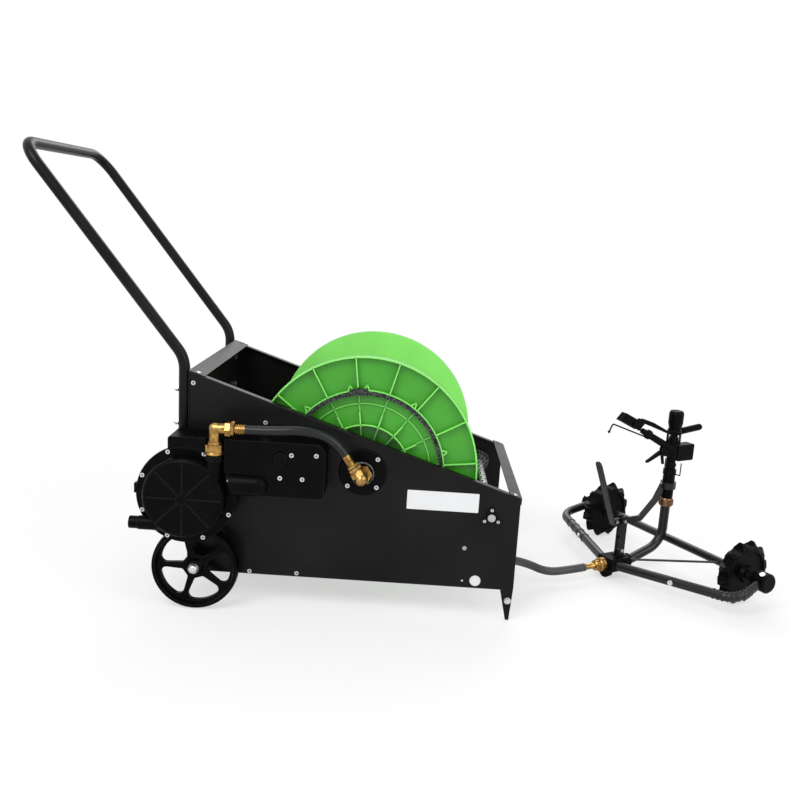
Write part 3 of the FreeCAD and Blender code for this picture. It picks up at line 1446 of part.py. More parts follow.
def trolley_parts():
    parts = {}
    parts["trolley_frame"] = drilled(trolley_frame())
    parts["trolley_axle"] = trolley_axle()
    parts["trolley_wheel_right"] = spiked_wheel(1)
    parts["trolley_wheel_left"] = spiked_wheel(-1)
    parts["axle_caps"] = drilled(axle_caps())
    parts["nose_hub"] = nose_hub()
    parts["hose_coupling"] = hose_coupling()
    parts["riser_pipe"] = riser_pipe()
    parts["riser_nut"] = riser_nut()
    parts["support_post"] = support_post()
    parts["riser_stay"] = riser_stay()
    parts["stop_bar"] = stop_bar()
    parts["trolley_screws"] = Part.makeCompound([screw(*p) for p in trolley_screw_places()])
    parts["sprinkler_base"] = sprinkler_base()
    parts["trip_collars"] = trip_collars()
    parts["sprinkler_body"] = sprinkler_body()
    parts["bonnet"] = bonnet()
    parts["arm_spring"] = arm_spring()
    parts["drive_arm"] = drive_arm()
    parts["trip_lever"] = trip_lever()
    return {name: in_trolley(shape) for name, shape in parts.items()}


def all_parts():
    parts = cart_parts()
    parts.update(drive_parts())
    holes = Part.makeCompound([screw_hole(*place) for place in screw_places()])
    for name in ("right_side_panel", "left_side_panel", "rear_panel", "front_top_bar",
                 "reel_bearings", "screw_bearings", "gear_housing", "gear_cover",
                 "turbine_housing", "turbine_cover"):
        parts[name] = parts[name].cut(holes)
    parts["cart_fasteners"] = Part.makeCompound([screw(*place) for place in screw_places()]
                                                + axle_nuts().Solids + foot_bolts().Solids)
    parts.update(reel_parts())
    parts.update(trolley_parts())
    return parts


def middle_of(parts):
    """Middle of the floor under all pieces but the free hose."""
    whole = FreeCAD.BoundBox()
    for name, shape in parts.items():
        if name != "towing_hose":
            whole.add(shape.optimalBoundingBox(False))
    return V(whole.Center.x, whole.Center.y, whole.ZMin)


parts = all_parts()
shift = middle_of(parts)
print("moved by", [round(-c, 4) for c in shift])
os.makedirs("parts", exist_ok=True)
for name, shape in parts.items():
    placed = shape.copy()
    placed.translate(shift * -1)
    placed.exportStep("parts/" + name + ".step")
    print(name, len(placed.Solids), round(placed.Volume), placed.isValid())
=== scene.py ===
import json
import math

import bmesh
import bpy
from mathutils import Matrix, Vector


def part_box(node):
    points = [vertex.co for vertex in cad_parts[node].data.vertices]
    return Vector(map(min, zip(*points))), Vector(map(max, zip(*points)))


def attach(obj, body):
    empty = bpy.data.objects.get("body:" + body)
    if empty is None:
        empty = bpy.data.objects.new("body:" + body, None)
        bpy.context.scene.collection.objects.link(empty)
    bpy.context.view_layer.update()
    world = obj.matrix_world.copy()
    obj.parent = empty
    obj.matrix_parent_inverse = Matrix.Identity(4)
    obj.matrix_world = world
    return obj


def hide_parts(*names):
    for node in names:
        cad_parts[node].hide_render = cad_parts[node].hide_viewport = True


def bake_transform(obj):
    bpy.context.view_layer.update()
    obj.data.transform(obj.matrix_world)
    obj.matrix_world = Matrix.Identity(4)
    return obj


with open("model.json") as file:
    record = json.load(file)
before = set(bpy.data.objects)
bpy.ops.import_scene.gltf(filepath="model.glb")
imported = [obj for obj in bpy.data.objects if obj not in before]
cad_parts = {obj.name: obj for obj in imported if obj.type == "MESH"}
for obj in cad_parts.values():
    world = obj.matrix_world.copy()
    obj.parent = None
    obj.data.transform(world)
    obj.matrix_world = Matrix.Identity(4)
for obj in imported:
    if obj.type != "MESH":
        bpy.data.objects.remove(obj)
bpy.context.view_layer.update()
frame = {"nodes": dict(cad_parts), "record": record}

# Part coordinates in millimetres, as the part's source has them, and where they lie in the frame
SHIFT = Vector((-522.4061, -58.4743, 0.0))

# Axes of the reel and of the level-wind screw as x and z, and the reel's right flange
REEL = (397.0, 338.0)
SCREW = (696.0, 250.0)
AXLE_BORE, HUB_WALL, RIM_WALL = 17.2, 9.0, 3.5
FLANGE_Y, FLANGE_DEPTH, FLANGE_RADIUS = -210.0, 16.0, 261.0
WEB_THICKNESS, LOW_RIB, RIB_WIDTH = 3.0, 4.0, 2.6
RIBS, RIB_START, PINION_ROOM = 16, 6.5, 134.0
HUB_RING, LOW_RING, CHAIN_RING = (102.0, 104.6), (150.6, 153.2), (180.0, 185.2)

# Ring chain, its joint and its clips, with angles in degrees from the front
CHAIN_LINKS, JOINT_TURN = 138, 96.1
CLIPS = (15.3, 55.3, 90.4, 101.8, 135.3, 175.3, 215.3, 255.3, 295.3, 335.3)
CLIP_EAR = ((-0.5, 7.5), (-0.5, 4.5), (8.5, 0.4), (12.0, 1.2))
CLIP_DEPTH = 5.0

# Hose on the drum: outside of the lower layers, middle of the outer layer, and where it leaves
HOSE_RADIUS = 10.5
INNER_LAYER = 162.0
OUTER_LAYER = INNER_LAYER + HOSE_RADIUS + 0.3
OUTER_PITCH, OUTER_TURNS = 21.6, 3.25
LOWER_END, LOWER_TURNS = 198.9, 18.4
WINDING_STEPS = 24
LEAVE_Y, LEAVE_STUB = -125.5, 21.0
GUIDE_EYE = (705.0, 110.0)

# Corners of the two brass elbows, and how far the swivel's branch is turned up, in degrees
ELBOW_CORNER = (77.0, -334.0, 440.0)
SWIVEL_CORNER = (REEL[0], -312.0, REEL[1])
SWIVEL_TURN = 125.5

# Chain of the level-wind screw, and the turbine's axis with the circle of its screws
CHAIN_RADIUS, LINK_PITCH = 24.5 + 2.6, 12.83
TURBINE, TURBINE_SCREWS = (10.6, 279.0), 104.5

# Trolley's origin and turn, and its nose with the hose's height there
TROLLEY = Vector((1229.0, 166.0, 0.0))
TROLLEY_TURN = math.radians(210)
NOSE, NOSE_HEIGHT = 204.0 + 22.3 + 65.0, 36.5


def place(x, y, z):
    """Part coordinates in millimetres to the frame in metres."""
    return (Vector((x, y, z)) + SHIFT) / 1000


def trolley_place(x, y, z):
    """Trolley coordinates in millimetres, x ahead and y its left, to the frame in metres."""
    c, s = math.cos(TROLLEY_TURN), math.sin(TROLLEY_TURN)
    return place(TROLLEY.x + x * c - y * s, TROLLEY.y + x * s + y * c, z)


# Camera
def add_camera():
    """Camera at the photo's viewpoint."""
    yaw, pitch, roll = math.radians(-0.839), math.radians(11.727), math.radians(3.382)
    focal_pixels, photo_pixels, sensor = 887.0, 800.0, 36.0
    forward = Vector((math.sin(yaw) * math.cos(pitch), math.cos(yaw) * math.cos(pitch),
                      -math.sin(pitch)))
    right = forward.cross(Vector((0, 0, 1))).normalized()
    up = right.cross(forward)
    right, up = (right * math.cos(roll) + up * math.sin(roll),
                 up * math.cos(roll) - right * math.sin(roll))
    camera = bpy.data.objects.new("camera", bpy.data.cameras.new("camera"))
    bpy.context.collection.objects.link(camera)
    turn = Matrix((right, up, -forward)).transposed().to_4x4()
    camera.matrix_world = Matrix.Translation(place(500.0, -2185.0, 911.4)) @ turn
    camera.data.sensor_width = sensor
    camera.data.lens = focal_pixels / photo_pixels * sensor
    camera.data.clip_end = 50.0
    bpy.context.scene.camera = camera


# Materials
MIX_FIRST, MIX_SECOND, MIX_RESULT = 6, 7, 2


def add_node(tree, kind, inputs=None, **settings):
    """New node, with its inputs given as values or as sockets to link from."""
    node = tree.nodes.new(kind)
    for key, value in settings.items():
        setattr(node, key, value)
    for key, value in (inputs or {}).items():
        if isinstance(value, bpy.types.NodeSocket):
            tree.links.new(value, node.inputs[key])
        else:
            node.inputs[key].default_value = value
    return node


class Surface:
    """A node material that is built step by step."""

    def __init__(self, name):
        self.material = bpy.data.materials.new(name)
        self.material.use_nodes = True
        self.tree = self.material.node_tree
        self.shader = self.tree.nodes["Principled BSDF"]
        self.place = self.add("ShaderNodeTexCoord").outputs["Object"]

    def add(self, kind, inputs=None, **settings):
        return add_node(self.tree, kind, inputs, **settings)

    def set(self, **values):
        for key, value in values.items():
            self.shader.inputs[key.replace("_", " ")].default_value = value
        return self

    def feed(self, key, socket):
        """Links a socket to one of the shader's inputs."""
        self.tree.links.new(socket, self.shader.inputs[key])
        return self

    def noise(self, scale, detail):
        inputs = {"Scale": scale, "Detail": detail, "Vector": self.place}
        return self.add("ShaderNodeTexNoise", inputs).outputs["Fac"]

    def ramp(self, fac, low, high, stops=(0.35, 0.65)):
        node = self.add("ShaderNodeValToRGB", {"Fac": fac})
        for element, stop, colour in zip(node.color_ramp.elements, stops, (low, high)):
            element.position = stop
            element.color = (*colour, 1.0)
        return node.outputs["Color"]

    def colour(self, fac, low, high, stops=(0.35, 0.65)):
        return self.feed("Base Color", self.ramp(fac, low, high, stops))

    def wear_and_highlight_colour(self, fac, low, high, wear_and_highlight, radius, amount):
        """Colour that turns lighter along sharp edges: edge wear on the powder coat, and a painted
        highlight on the rims and ribs of the moulded black plastic.
        """
        bevel = self.add("ShaderNodeBevel", {"Radius": radius}, samples=4)
        plain = self.add("ShaderNodeNewGeometry")
        dot = self.add("ShaderNodeVectorMath",
                       {0: bevel.outputs["Normal"], 1: plain.outputs["Normal"]}, operation="DOT_PRODUCT")
        edge = self.add("ShaderNodeMapRange", {"Value": dot.outputs["Value"], "From Min": 0.98,
                                               "From Max": 0.80, "To Max": amount})
        mix = self.add("ShaderNodeMix", {"Factor": edge.outputs["Result"],
                                         MIX_FIRST: self.ramp(fac, low, high),
                                         MIX_SECOND: (*wear_and_highlight, 1.0)}, data_type="RGBA")
        return self.feed("Base Color", mix.outputs[MIX_RESULT])

    def roughness(self, fac, low, high):
        node = self.add("ShaderNodeMapRange", {"Value": fac, "To Min": low, "To Max": high})
        return self.feed("Roughness", node.outputs["Result"])

    def bump(self, fac, strength, distance):
        inputs = {"Height": fac, "Strength": strength, "Distance": distance}
        return self.feed("Normal", self.add("ShaderNodeBump", inputs).outputs["Normal"])


def flange_colour(s):
    """Green of the moulded plastic on the smooth faces, with painted shade that darkens it in the pockets
    and inside the hub ring, and painted highlight that lightens the rib edges.
    """
    apart = s.add("ShaderNodeSeparateXYZ", {0: s.place})
    from_middle = s.add("ShaderNodeMath", {0: apart.outputs["Y"], 1: -SHIFT.y / 1000}, operation="ADD")
    either = s.add("ShaderNodeMath", {0: from_middle.outputs[0]}, operation="ABSOLUTE")
    share = s.add("ShaderNodeMapRange", {"Value": either.outputs[0],
                                         "From Min": (-FLANGE_Y - 2) / 1000,
                                         "From Max": (-FLANGE_Y + FLANGE_DEPTH) / 1000})
    # Painted shade and highlight by depth: the green darkens toward the bottom of the pockets and turns
    # lighter on the tops of the low and tall ribs
    light, pocket_shade = (0.27, 0.86, 0.155, 1), (0.048, 0.325, 0.018, 1)
    low_rib_highlight, edge = (0.16, 0.62, 0.09, 1), (0.24, 0.80, 0.14, 1)
    depth = s.add("ShaderNodeValToRGB", {"Fac": share.outputs["Result"]})
    elements = depth.color_ramp.elements
    for element, stop, colour in zip(elements, (0.15, 0.24), (light, pocket_shade)):
        element.position = stop
        element.color = colour
    for stop, colour in ((0.46, pocket_shade), (0.49, low_rib_highlight), (0.51, low_rib_highlight), (0.54, pocket_shade),
                         (0.80, pocket_shade), (0.89, edge)):
        elements.new(stop).color = colour
    mottle = s.ramp(s.noise(9.0, 3.0), (0.90, 0.90, 0.90), (1.0, 1.0, 1.0))
    mottled = s.add("ShaderNodeMix", {"Factor": 1.0, MIX_FIRST: depth.outputs["Color"],
                                      MIX_SECOND: mottle}, data_type="RGBA", blend_type="MULTIPLY")
    # Painted shade: inside the hub ring the green is mixed toward a dark green, as if the pockets there
    # lay deeper in shade
    axis = place(REEL[0], 0.0, REEL[1])
    flat = s.add("ShaderNodeMapping", {"Scale": (1.0, 0.0, 1.0), "Vector": s.place})
    from_axis = s.add("ShaderNodeVectorMath", {0: flat.outputs["Vector"], 1: (axis.x, 0.0, axis.z)},
                      operation="DISTANCE")
    hub_shade_share = s.add("ShaderNodeMapRange", {"Value": from_axis.outputs["Value"],
                                            "From Min": (HUB_RING[0] - 6) / 1000,
                                            "From Max": (HUB_RING[0] + 1) / 1000, "To Min": 0.22})
    shaded = s.add("ShaderNodeMix", {"Factor": hub_shade_share.outputs["Result"],
                                     MIX_FIRST: (0.016, 0.11, 0.007, 1),
                                     MIX_SECOND: mottled.outputs[MIX_RESULT]}, data_type="RGBA")
    s.feed("Base Color", shaded.outputs[MIX_RESULT])


def materials():
    """Materials by slot, and the looks of a few pieces."""
    m = {}
    s = Surface("powder_coat").set(Metallic=0.0, IOR=1.5, Specular_IOR_Level=0.12)
    fine, broad = s.noise(1400.0, 2.0), s.noise(6.0, 4.0)
    s.wear_and_highlight_colour(broad, (0.0045, 0.0042, 0.0042), (0.0085, 0.0080, 0.0080),
                  wear_and_highlight=(0.07, 0.07, 0.07), radius=0.0012, amount=0.5)
    s.roughness(s.noise(22.0, 4.0), 0.24, 0.38).bump(fine, 0.22, 0.0003)
    m["black_paint"] = s.material
    s = Surface("tube_paint").set(Metallic=0.0, IOR=1.5, Specular_IOR_Level=0.32)
    s.colour(s.noise(14.0, 3.0), (0.005, 0.005, 0.005), (0.009, 0.009, 0.009))
    s.roughness(s.noise(30.0, 4.0), 0.20, 0.34).bump(s.noise(1100.0, 2.0), 0.2, 0.0002)
    m["black_tube"] = s.material
    s = Surface("moulded_black").set(Metallic=0.0, IOR=1.47, Specular_IOR_Level=0.05)
    # Painted highlight: the lighter colour along the rims and ribs stands in for the glints on their
    # edges
    s.wear_and_highlight_colour(s.noise(20.0, 4.0), (0.0012, 0.0012, 0.0013), (0.0026, 0.0026, 0.0027),
                  wear_and_highlight=(0.05, 0.05, 0.05), radius=0.0016, amount=0.7)
    s.roughness(s.noise(45.0, 3.0), 0.26, 0.40).bump(s.noise(2200.0, 2.0), 0.3, 0.00025)
    m["black_plastic"] = s.material
    s = Surface("moulded_green").set(Metallic=0.0, IOR=1.46)
    flange_colour(s)
    s.roughness(s.noise(16.0, 3.0), 0.30, 0.42).bump(s.noise(120.0, 3.0), 0.10, 0.0006)
    m["green_plastic"] = s.material
    s = Surface("light_plastic").set(Metallic=0.0, IOR=1.46)
    s.colour(s.noise(25.0, 3.0), (0.68, 0.69, 0.70), (0.71, 0.72, 0.73))
    s.roughness(s.noise(60.0, 2.0), 0.30, 0.36).bump(s.noise(400.0, 2.0), 0.03, 0.0001)
    m["light_plastic"] = s.material
    s = Surface("zinc").set(Metallic=1.0)
    s.colour(s.noise(260.0, 4.0), (0.52, 0.53, 0.55), (0.70, 0.70, 0.71))
    s.roughness(s.noise(300.0, 3.0), 0.22, 0.42).bump(s.noise(900.0, 3.0), 0.15, 0.0001)
    m["zinc"] = s.material
    s = Surface("plain_steel").set(Metallic=1.0)
    s.colour(s.noise(60.0, 4.0), (0.34, 0.34, 0.35), (0.50, 0.50, 0.52))
    s.roughness(s.noise(90.0, 4.0), 0.28, 0.50).bump(s.noise(700.0, 3.0), 0.12, 0.0001)
    m["steel"] = s.material
    s = Surface("oiled_steel").set(Metallic=1.0)
    s.colour(s.noise(240.0, 4.0), (0.045, 0.048, 0.052), (0.20, 0.205, 0.21), (0.42, 0.62))
    s.roughness(s.noise(200.0, 3.0), 0.30, 0.55).bump(s.noise(800.0, 3.0), 0.2, 0.0002)
    m["dark_steel"] = s.material
    s = Surface("chain_steel").set(Metallic=0.6, Specular_IOR_Level=0.3)
    s.colour(s.noise(260.0, 4.0), (0.012, 0.014, 0.013), (0.085, 0.098, 0.090), (0.42, 0.62))
    s.roughness(s.noise(200.0, 3.0), 0.32, 0.55).bump(s.noise(700.0, 3.0), 0.2, 0.0002)
    m["chain"] = s.material
    # Painted shade: a near-black for the dark crosses that stand in for the shade inside the screws'
    # cross recesses
    s = Surface("recess_shadow").set(Metallic=0.0, Specular_IOR_Level=0.1)
    s.colour(s.noise(300.0, 3.0), (0.012, 0.012, 0.013), (0.035, 0.035, 0.037))
    s.roughness(s.noise(200.0, 3.0), 0.5, 0.7)
    m["recess"] = s.material
    s = Surface("turned_brass").set(Metallic=1.0)
    s.colour(s.noise(90.0, 5.0), (0.23, 0.12, 0.035), (0.50, 0.31, 0.10))
    s.roughness(s.noise(120.0, 4.0), 0.16, 0.36).bump(s.noise(900.0, 3.0), 0.12, 0.0001)
    m["brass"] = s.material
    s = Surface("aged_brass").set(Metallic=1.0)
    s.colour(s.noise(110.0, 5.0), (0.12, 0.055, 0.03), (0.24, 0.13, 0.065))
    s.roughness(s.noise(120.0, 4.0), 0.24, 0.44).bump(s.noise(900.0, 3.0), 0.14, 0.0001)
    m["aged_brass"] = s.material
    s = Surface("hose_skin").set(Metallic=0.0, IOR=1.5, Specular_IOR_Level=0.4)
    s.colour(s.noise(18.0, 4.0), (0.030, 0.031, 0.033), (0.046, 0.048, 0.050))
    s.roughness(s.noise(40.0, 4.0), 0.36, 0.52).bump(s.noise(260.0, 3.0), 0.12, 0.0004)
    m["hose"] = s.material
    s = Surface("feed_hose_skin").set(Metallic=0.0, IOR=1.5, Specular_IOR_Level=0.3)
    s.colour(s.noise(18.0, 4.0), (0.0050, 0.0052, 0.0054), (0.0085, 0.0088, 0.0092))
    s.roughness(s.noise(40.0, 4.0), 0.24, 0.36).bump(s.noise(260.0, 3.0), 0.10, 0.0004)
    m["feed_hose"] = s.material
    return m


# Helpers for new pieces
def tube(name, points, radius, material, resolution=12):
    """A tube along one smooth open spline."""
    curve = bpy.data.curves.new(name, "CURVE")
    curve.dimensions = "3D"
    spline = curve.splines.new("NURBS")
    spline.points.add(len(points) - 1)
    for point, at in zip(spline.points, points):
        point.co = (*at, 1.0)
    spline.order_u = 3
    spline.use_endpoint_u = True
    spline.resolution_u = resolution
    curve.bevel_depth = radius
    curve.bevel_resolution = 6
    curve.use_fill_caps = True
    curve.materials.append(material)
    piece = bpy.data.objects.new(name, curve)
    bpy.context.collection.objects.link(piece)
    return piece


def mesh_tube(name, points, radius, material, resolution):
    """The same tube as a mesh, and the points of its centre line."""
    curve = tube(name + "_curve", points, 0.0, material, resolution)
    curve.data.use_fill_caps = False
    line = [v.co.copy() for v in bpy.data.meshes.new_from_object(curve).vertices]
    curve.data.bevel_depth = radius
    curve.data.use_fill_caps = True
    mesh = bpy.data.meshes.new_from_object(curve)
    mesh.shade_smooth()
    bpy.data.objects.remove(curve)
    piece = bpy.data.objects.new(name, mesh)
    bpy.context.collection.objects.link(piece)
    return piece, line


def helix(radius, start_y, end_y, turns, phase):
    """Points of a winding on the drum."""
    points = []
    count = int(turns * WINDING_STEPS)
    for k in range(count + 1):
        angle = phase + 2 * math.pi * turns * k / count
        y = start_y + (end_y - start_y) * k / count
        points.append(place(REEL[0] + radius * math.cos(angle), y, REEL[1] + radius * math.sin(angle)))
    return points


def leave_angle():
    """Angle on the drum at which the hose leaves the winding for the guide's eye."""
    across, down = GUIDE_EYE[0] - REEL[0], GUIDE_EYE[1] - REEL[1]
    return math.atan2(down, across) - math.acos(OUTER_LAYER / math.hypot(across, down))


def windings(m):
    """Both layers of the hose on the drum, each as one tube."""
    # The spline runs inside its points, so these lie a little further out
    stretch = 1 / math.cos(math.pi / WINDING_STEPS) ** 0.5
    end = leave_angle()
    outer = helix(OUTER_LAYER * stretch, LEAVE_Y - OUTER_PITCH * OUTER_TURNS, LEAVE_Y, OUTER_TURNS,
                  phase=end - 2 * math.pi * OUTER_TURNS)
    last = Vector((-math.sin(end), 0, math.cos(end)))
    outer.append(outer[-1] + last * (LEAVE_STUB / 1000))
    piece = tube("outer_hose_layer", outer, HOSE_RADIUS / 1000, m["hose"])
    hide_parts("wound_hose")
    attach(piece, "reel")
    low = helix((INNER_LAYER - HOSE_RADIUS) * stretch, LOWER_END, -LOWER_END, LOWER_TURNS, phase=1.2)
    piece = tube("lower_hose_layer", low, HOSE_RADIUS / 1000, m["hose"])
    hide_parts("lower_hose_layers")
    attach(piece, "reel")


def feed_hose(m):
    """Short hose from the turbine's elbow to the swivel in the reel's axle."""
    turn = math.radians(SWIVEL_TURN)
    out = Vector((math.cos(turn), 0, math.sin(turn)))
    elbow, swivel = Vector(ELBOW_CORNER), Vector(SWIVEL_CORNER)
    points = [elbow + Vector((67.0, 0.0, 0.0)), elbow + Vector((123.0, 0.0, 0.0)),
              elbow + Vector((191.0, 6.0, 6.0)), swivel + out * 108.0, swivel + out * 64.0]
    piece = tube("feed_hose_line", [place(*p) for p in points], HOSE_RADIUS / 1000, m["feed_hose"],
                 resolution=24)
    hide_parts("feed_hose")
    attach(piece, "cart")


def towing_hose(m):
    """The free hose from the drum through the guide's eye to the nose of the trolley."""
    end = leave_angle()
    start = Vector((REEL[0] + OUTER_LAYER * math.cos(end), LEAVE_Y,
                    REEL[1] + OUTER_LAYER * math.sin(end)))
    slope = 0.0199
    start += Vector((-math.sin(end), slope, math.cos(end))).normalized() * (LEAVE_STUB + 0.3)
    route = ((545.0, -122.2, 138.6), (745.0, -118.8, 102.0), (815.0, -45.0, 64.0), (872.0, -22.0, 33.0))
    points = [place(*start)] + [place(*at) for at in route]
    points += [trolley_place(NOSE + 50.0, 0, NOSE_HEIGHT), trolley_place(NOSE, 0, NOSE_HEIGHT)]
    piece, line = mesh_tube("towing_hose_line", points, HOSE_RADIUS / 1000, m["hose"], resolution=24)
    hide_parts("towing_hose")
    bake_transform(piece)


def mesh_piece(name, vertices, faces, material, smooth=40.0):
    """Object of these faces, smooth up to an angle in degrees."""
    mesh = bpy.data.meshes.new(name)
    mesh.from_pydata(vertices, [], faces)
    mesh.materials.append(material)
    mesh.validate()
    if smooth:
        mesh.shade_smooth()
        mesh.set_sharp_from_angle(angle=math.radians(smooth))
    piece = bpy.data.objects.new(name, mesh)
    bpy.context.collection.objects.link(piece)
    return piece


class Solids:
    """Closed bodies about one axis line, in part coordinates, that make one piece."""

    def __init__(self, origin=(REEL[0], 0.0, REEL[1]), axis=(0, 1, 0), side=(1, 0, 0), up=(0, 0, 1)):
        self.origin, self.axis, self.side, self.up = (Vector(v) for v in (origin, axis, side, up))
        self.vertices, self.faces = [], []

    def point(self, radius, angle, along):
        turned = self.side * math.cos(angle) + self.up * math.sin(angle)
        self.vertices.append(place(*(self.origin + turned * radius + self.axis * along)))

    def turned(self, profile, steps=180):
        """Ring with a closed profile of radius and place along the axis."""
        base, n = len(self.vertices), len(profile)
        for i in range(steps):
            for radius, along in profile:
                self.point(radius, 2 * math.pi * i / steps, along)
        for i in range(steps):
            a, b = base + i * n, base + (i + 1) % steps * n
            self.faces += [(a + k, a + (k + 1) % n, b + (k + 1) % n, b + k) for k in range(n)]

    def bar(self, outline, turn, start, end):
        """Outline of radius and sideways distance, turned to an angle, between two places."""
        base, n = len(self.vertices), len(outline)
        for along in (start, end):
            for out, side in outline:
                self.point(math.hypot(out, side), turn + math.atan2(side, out), along)
        for k in range(n):
            a, b = base + k, base + (k + 1) % n
            self.faces.append((a, b, b + n, a + n))
        self.faces += [tuple(base + k for k in range(n)), tuple(base + n + k for k in range(n))]

    def piece(self, name, material, smooth):
        """Object of all these bodies, with their faces turned outwards."""
        piece = mesh_piece(name, self.vertices, self.faces, material, smooth)
        work = bmesh.new()
        work.from_mesh(piece.data)
        bmesh.ops.recalc_face_normals(work, faces=work.faces)
        work.to_mesh(piece.data)
        work.free()
        return piece


def ribbed_flange(m):
    """Right side of the reel, with its rings and ribs where the photo shows them."""
    root, web = FLANGE_Y - 1, FLANGE_Y - WEB_THICKNESS
    low, outer = web - LOW_RIB, FLANGE_Y - FLANGE_DEPTH
    half = RIB_WIDTH / 2
    solids = Solids()
    solids.turned([(AXLE_BORE, FLANGE_Y), (FLANGE_RADIUS, FLANGE_Y), (FLANGE_RADIUS, web),
                   (AXLE_BORE, web)])
    rim, hub = (FLANGE_RADIUS - RIM_WALL, FLANGE_RADIUS), (AXLE_BORE, AXLE_BORE + HUB_WALL)
    for (inside, outside), top in ((rim, outer), (hub, outer), (CHAIN_RING, outer), (HUB_RING, outer),
                                   (LOW_RING, low)):
        solids.turned([(inside, root), (outside, root), (outside, top), (inside, top)])
    for k in range(RIBS):
        turn = math.radians(RIB_START) + 2 * math.pi * k / RIBS
        for start, end, top in ((AXLE_BORE + HUB_WALL - 1, PINION_ROOM, outer),
                                (PINION_ROOM - 1, CHAIN_RING[0] + 1, low),
                                (CHAIN_RING[1] - 1, FLANGE_RADIUS - 2, outer)):
            solids.bar([(start, -half), (end, -half), (end, half), (start, half)], turn, root, top)
    for degrees in CLIPS:
        for side in (-1, 1):
            ear = [(CHAIN_RING[1] + out, side * across) for out, across in CLIP_EAR]
            solids.bar(ear, math.radians(degrees), outer + CLIP_DEPTH, outer)
    piece = solids.piece("ribbed_reel_flange", m["green_plastic"], 40.0)
    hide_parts("reel_flange_right")
    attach(piece, "reel")


def ring_chain_plates(m):
    """Link plates and pins on the face of the ring chain, and its joint at the top."""
    face = FLANGE_Y - FLANGE_DEPTH
    inner = face - 0.7
    thin, thick, pin_height, joint_height = 0.9, 1.5, 2.1, 2.8
    plate = [(171.6, -1.9), (175.4, -3.9), (182.4, -4.1), (182.4, 4.1), (175.4, 3.9), (171.6, 1.9)]
    pin_circle, pin_radius = 178.8, 1.4
    pin = [(pin_circle + pin_radius * math.cos(math.pi * i / 4), pin_radius * math.sin(math.pi * i / 4))
           for i in range(8)]
    solids = Solids()
    for k in range(CHAIN_LINKS):
        turn = 2 * math.pi * (k + 0.5) / CHAIN_LINKS
        solids.bar(plate, turn, inner, inner - (thick if k % 2 else thin))
        solids.bar(pin, turn + math.pi / CHAIN_LINKS, face, inner - pin_height)
    for k in range(-3, 4):
        top = 190.5 - 1.2 * (k % 2) - abs(k)
        joint = [(173.0, -2.6), (top, -3.3), (top, 3.3), (173.0, 2.6)]
        solids.bar(joint, math.radians(JOINT_TURN + 1.9 * k), inner, inner - joint_height)
    piece = solids.piece("ring_chain_plates", m["chain"], 30.0)
    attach(piece, "reel")


def ferrule(solids, start, end, radius, ridge):
    """Ridged sleeve between two places along the axis."""
    bore, pitch = 6.0, 4.1
    foot, rise, fall, gap = 0.9, 1.9, 2.9, 3.8
    profile = [(bore, start), (radius, start)]
    for k in range(int((end - start) / pitch)):
        low = start + pitch * k
        profile += [(radius, low + foot), (radius + ridge, low + rise), (radius + ridge, low + fall),
                    (radius, low + gap)]
    solids.turned(profile + [(radius, end), (bore, end)], steps=48)


def nut(solids, flats, start, end):
    """Hexagon with its edges turned down, between two places along the axis."""
    reach, chamfer = flats / math.sqrt(3), 0.8
    for radius, low, high in ((reach, start + chamfer, end - chamfer), (reach * 0.95, start, end)):
        corners = [(radius * math.cos(turn), radius * math.sin(turn))
                   for turn in (math.pi * (k + 0.5) / 3 for k in range(6))]
        solids.bar(corners, 0.0, low, high)


def brass_fittings(m):
    """Nuts and ridged sleeves of the two brass elbows, and the steel cup round the axle's swivel."""
    elbow = Solids(ELBOW_CORNER, axis=(1, 0, 0), side=(0, 1, 0), up=(0, 0, 1))
    nut(elbow, flats=31.0, start=36.5, end=44.0)
    ferrule(elbow, start=46.0, end=66.6, radius=10.4, ridge=1.7)
    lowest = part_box("turbine_elbow")[0][2] * 1000
    collar = Solids((ELBOW_CORNER[0], ELBOW_CORNER[1], lowest), axis=(0, 0, 1), up=(0, 1, 0))
    collar.turned([(13.0, 10.0), (19.6, 10.0), (20.6, 11.2), (20.6, 14.6), (19.6, 15.8), (13.0, 15.8)],
                  steps=48)
    turn = math.radians(SWIVEL_TURN)
    out = (math.cos(turn), 0, math.sin(turn))
    swivel = Solids(SWIVEL_CORNER, axis=out, side=(0, 1, 0), up=(-out[2], 0, out[0]))
    nut(swivel, flats=30.0, start=25.0, end=32.0)
    nut(swivel, flats=27.0, start=34.0, end=39.0)
    ferrule(swivel, start=40.0, end=63.6, radius=9.4, ridge=1.6)
    for name, body in (("turbine_elbow_nut", elbow), ("turbine_elbow_collar", collar),
                       ("swivel_nuts", swivel)):
        piece = body.piece(name, m["brass"], 30.0)
        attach(piece, "cart")
    cup = Solids()
    cup.turned([(23.6, -255.3), (26.8, -255.3), (26.8, -266.0), (25.8, -267.0), (24.4, -267.0),
                (23.6, -266.0)], steps=72)
    piece = cup.piece("swivel_cup", m["dark_steel"], 30.0)
    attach(piece, "cart")


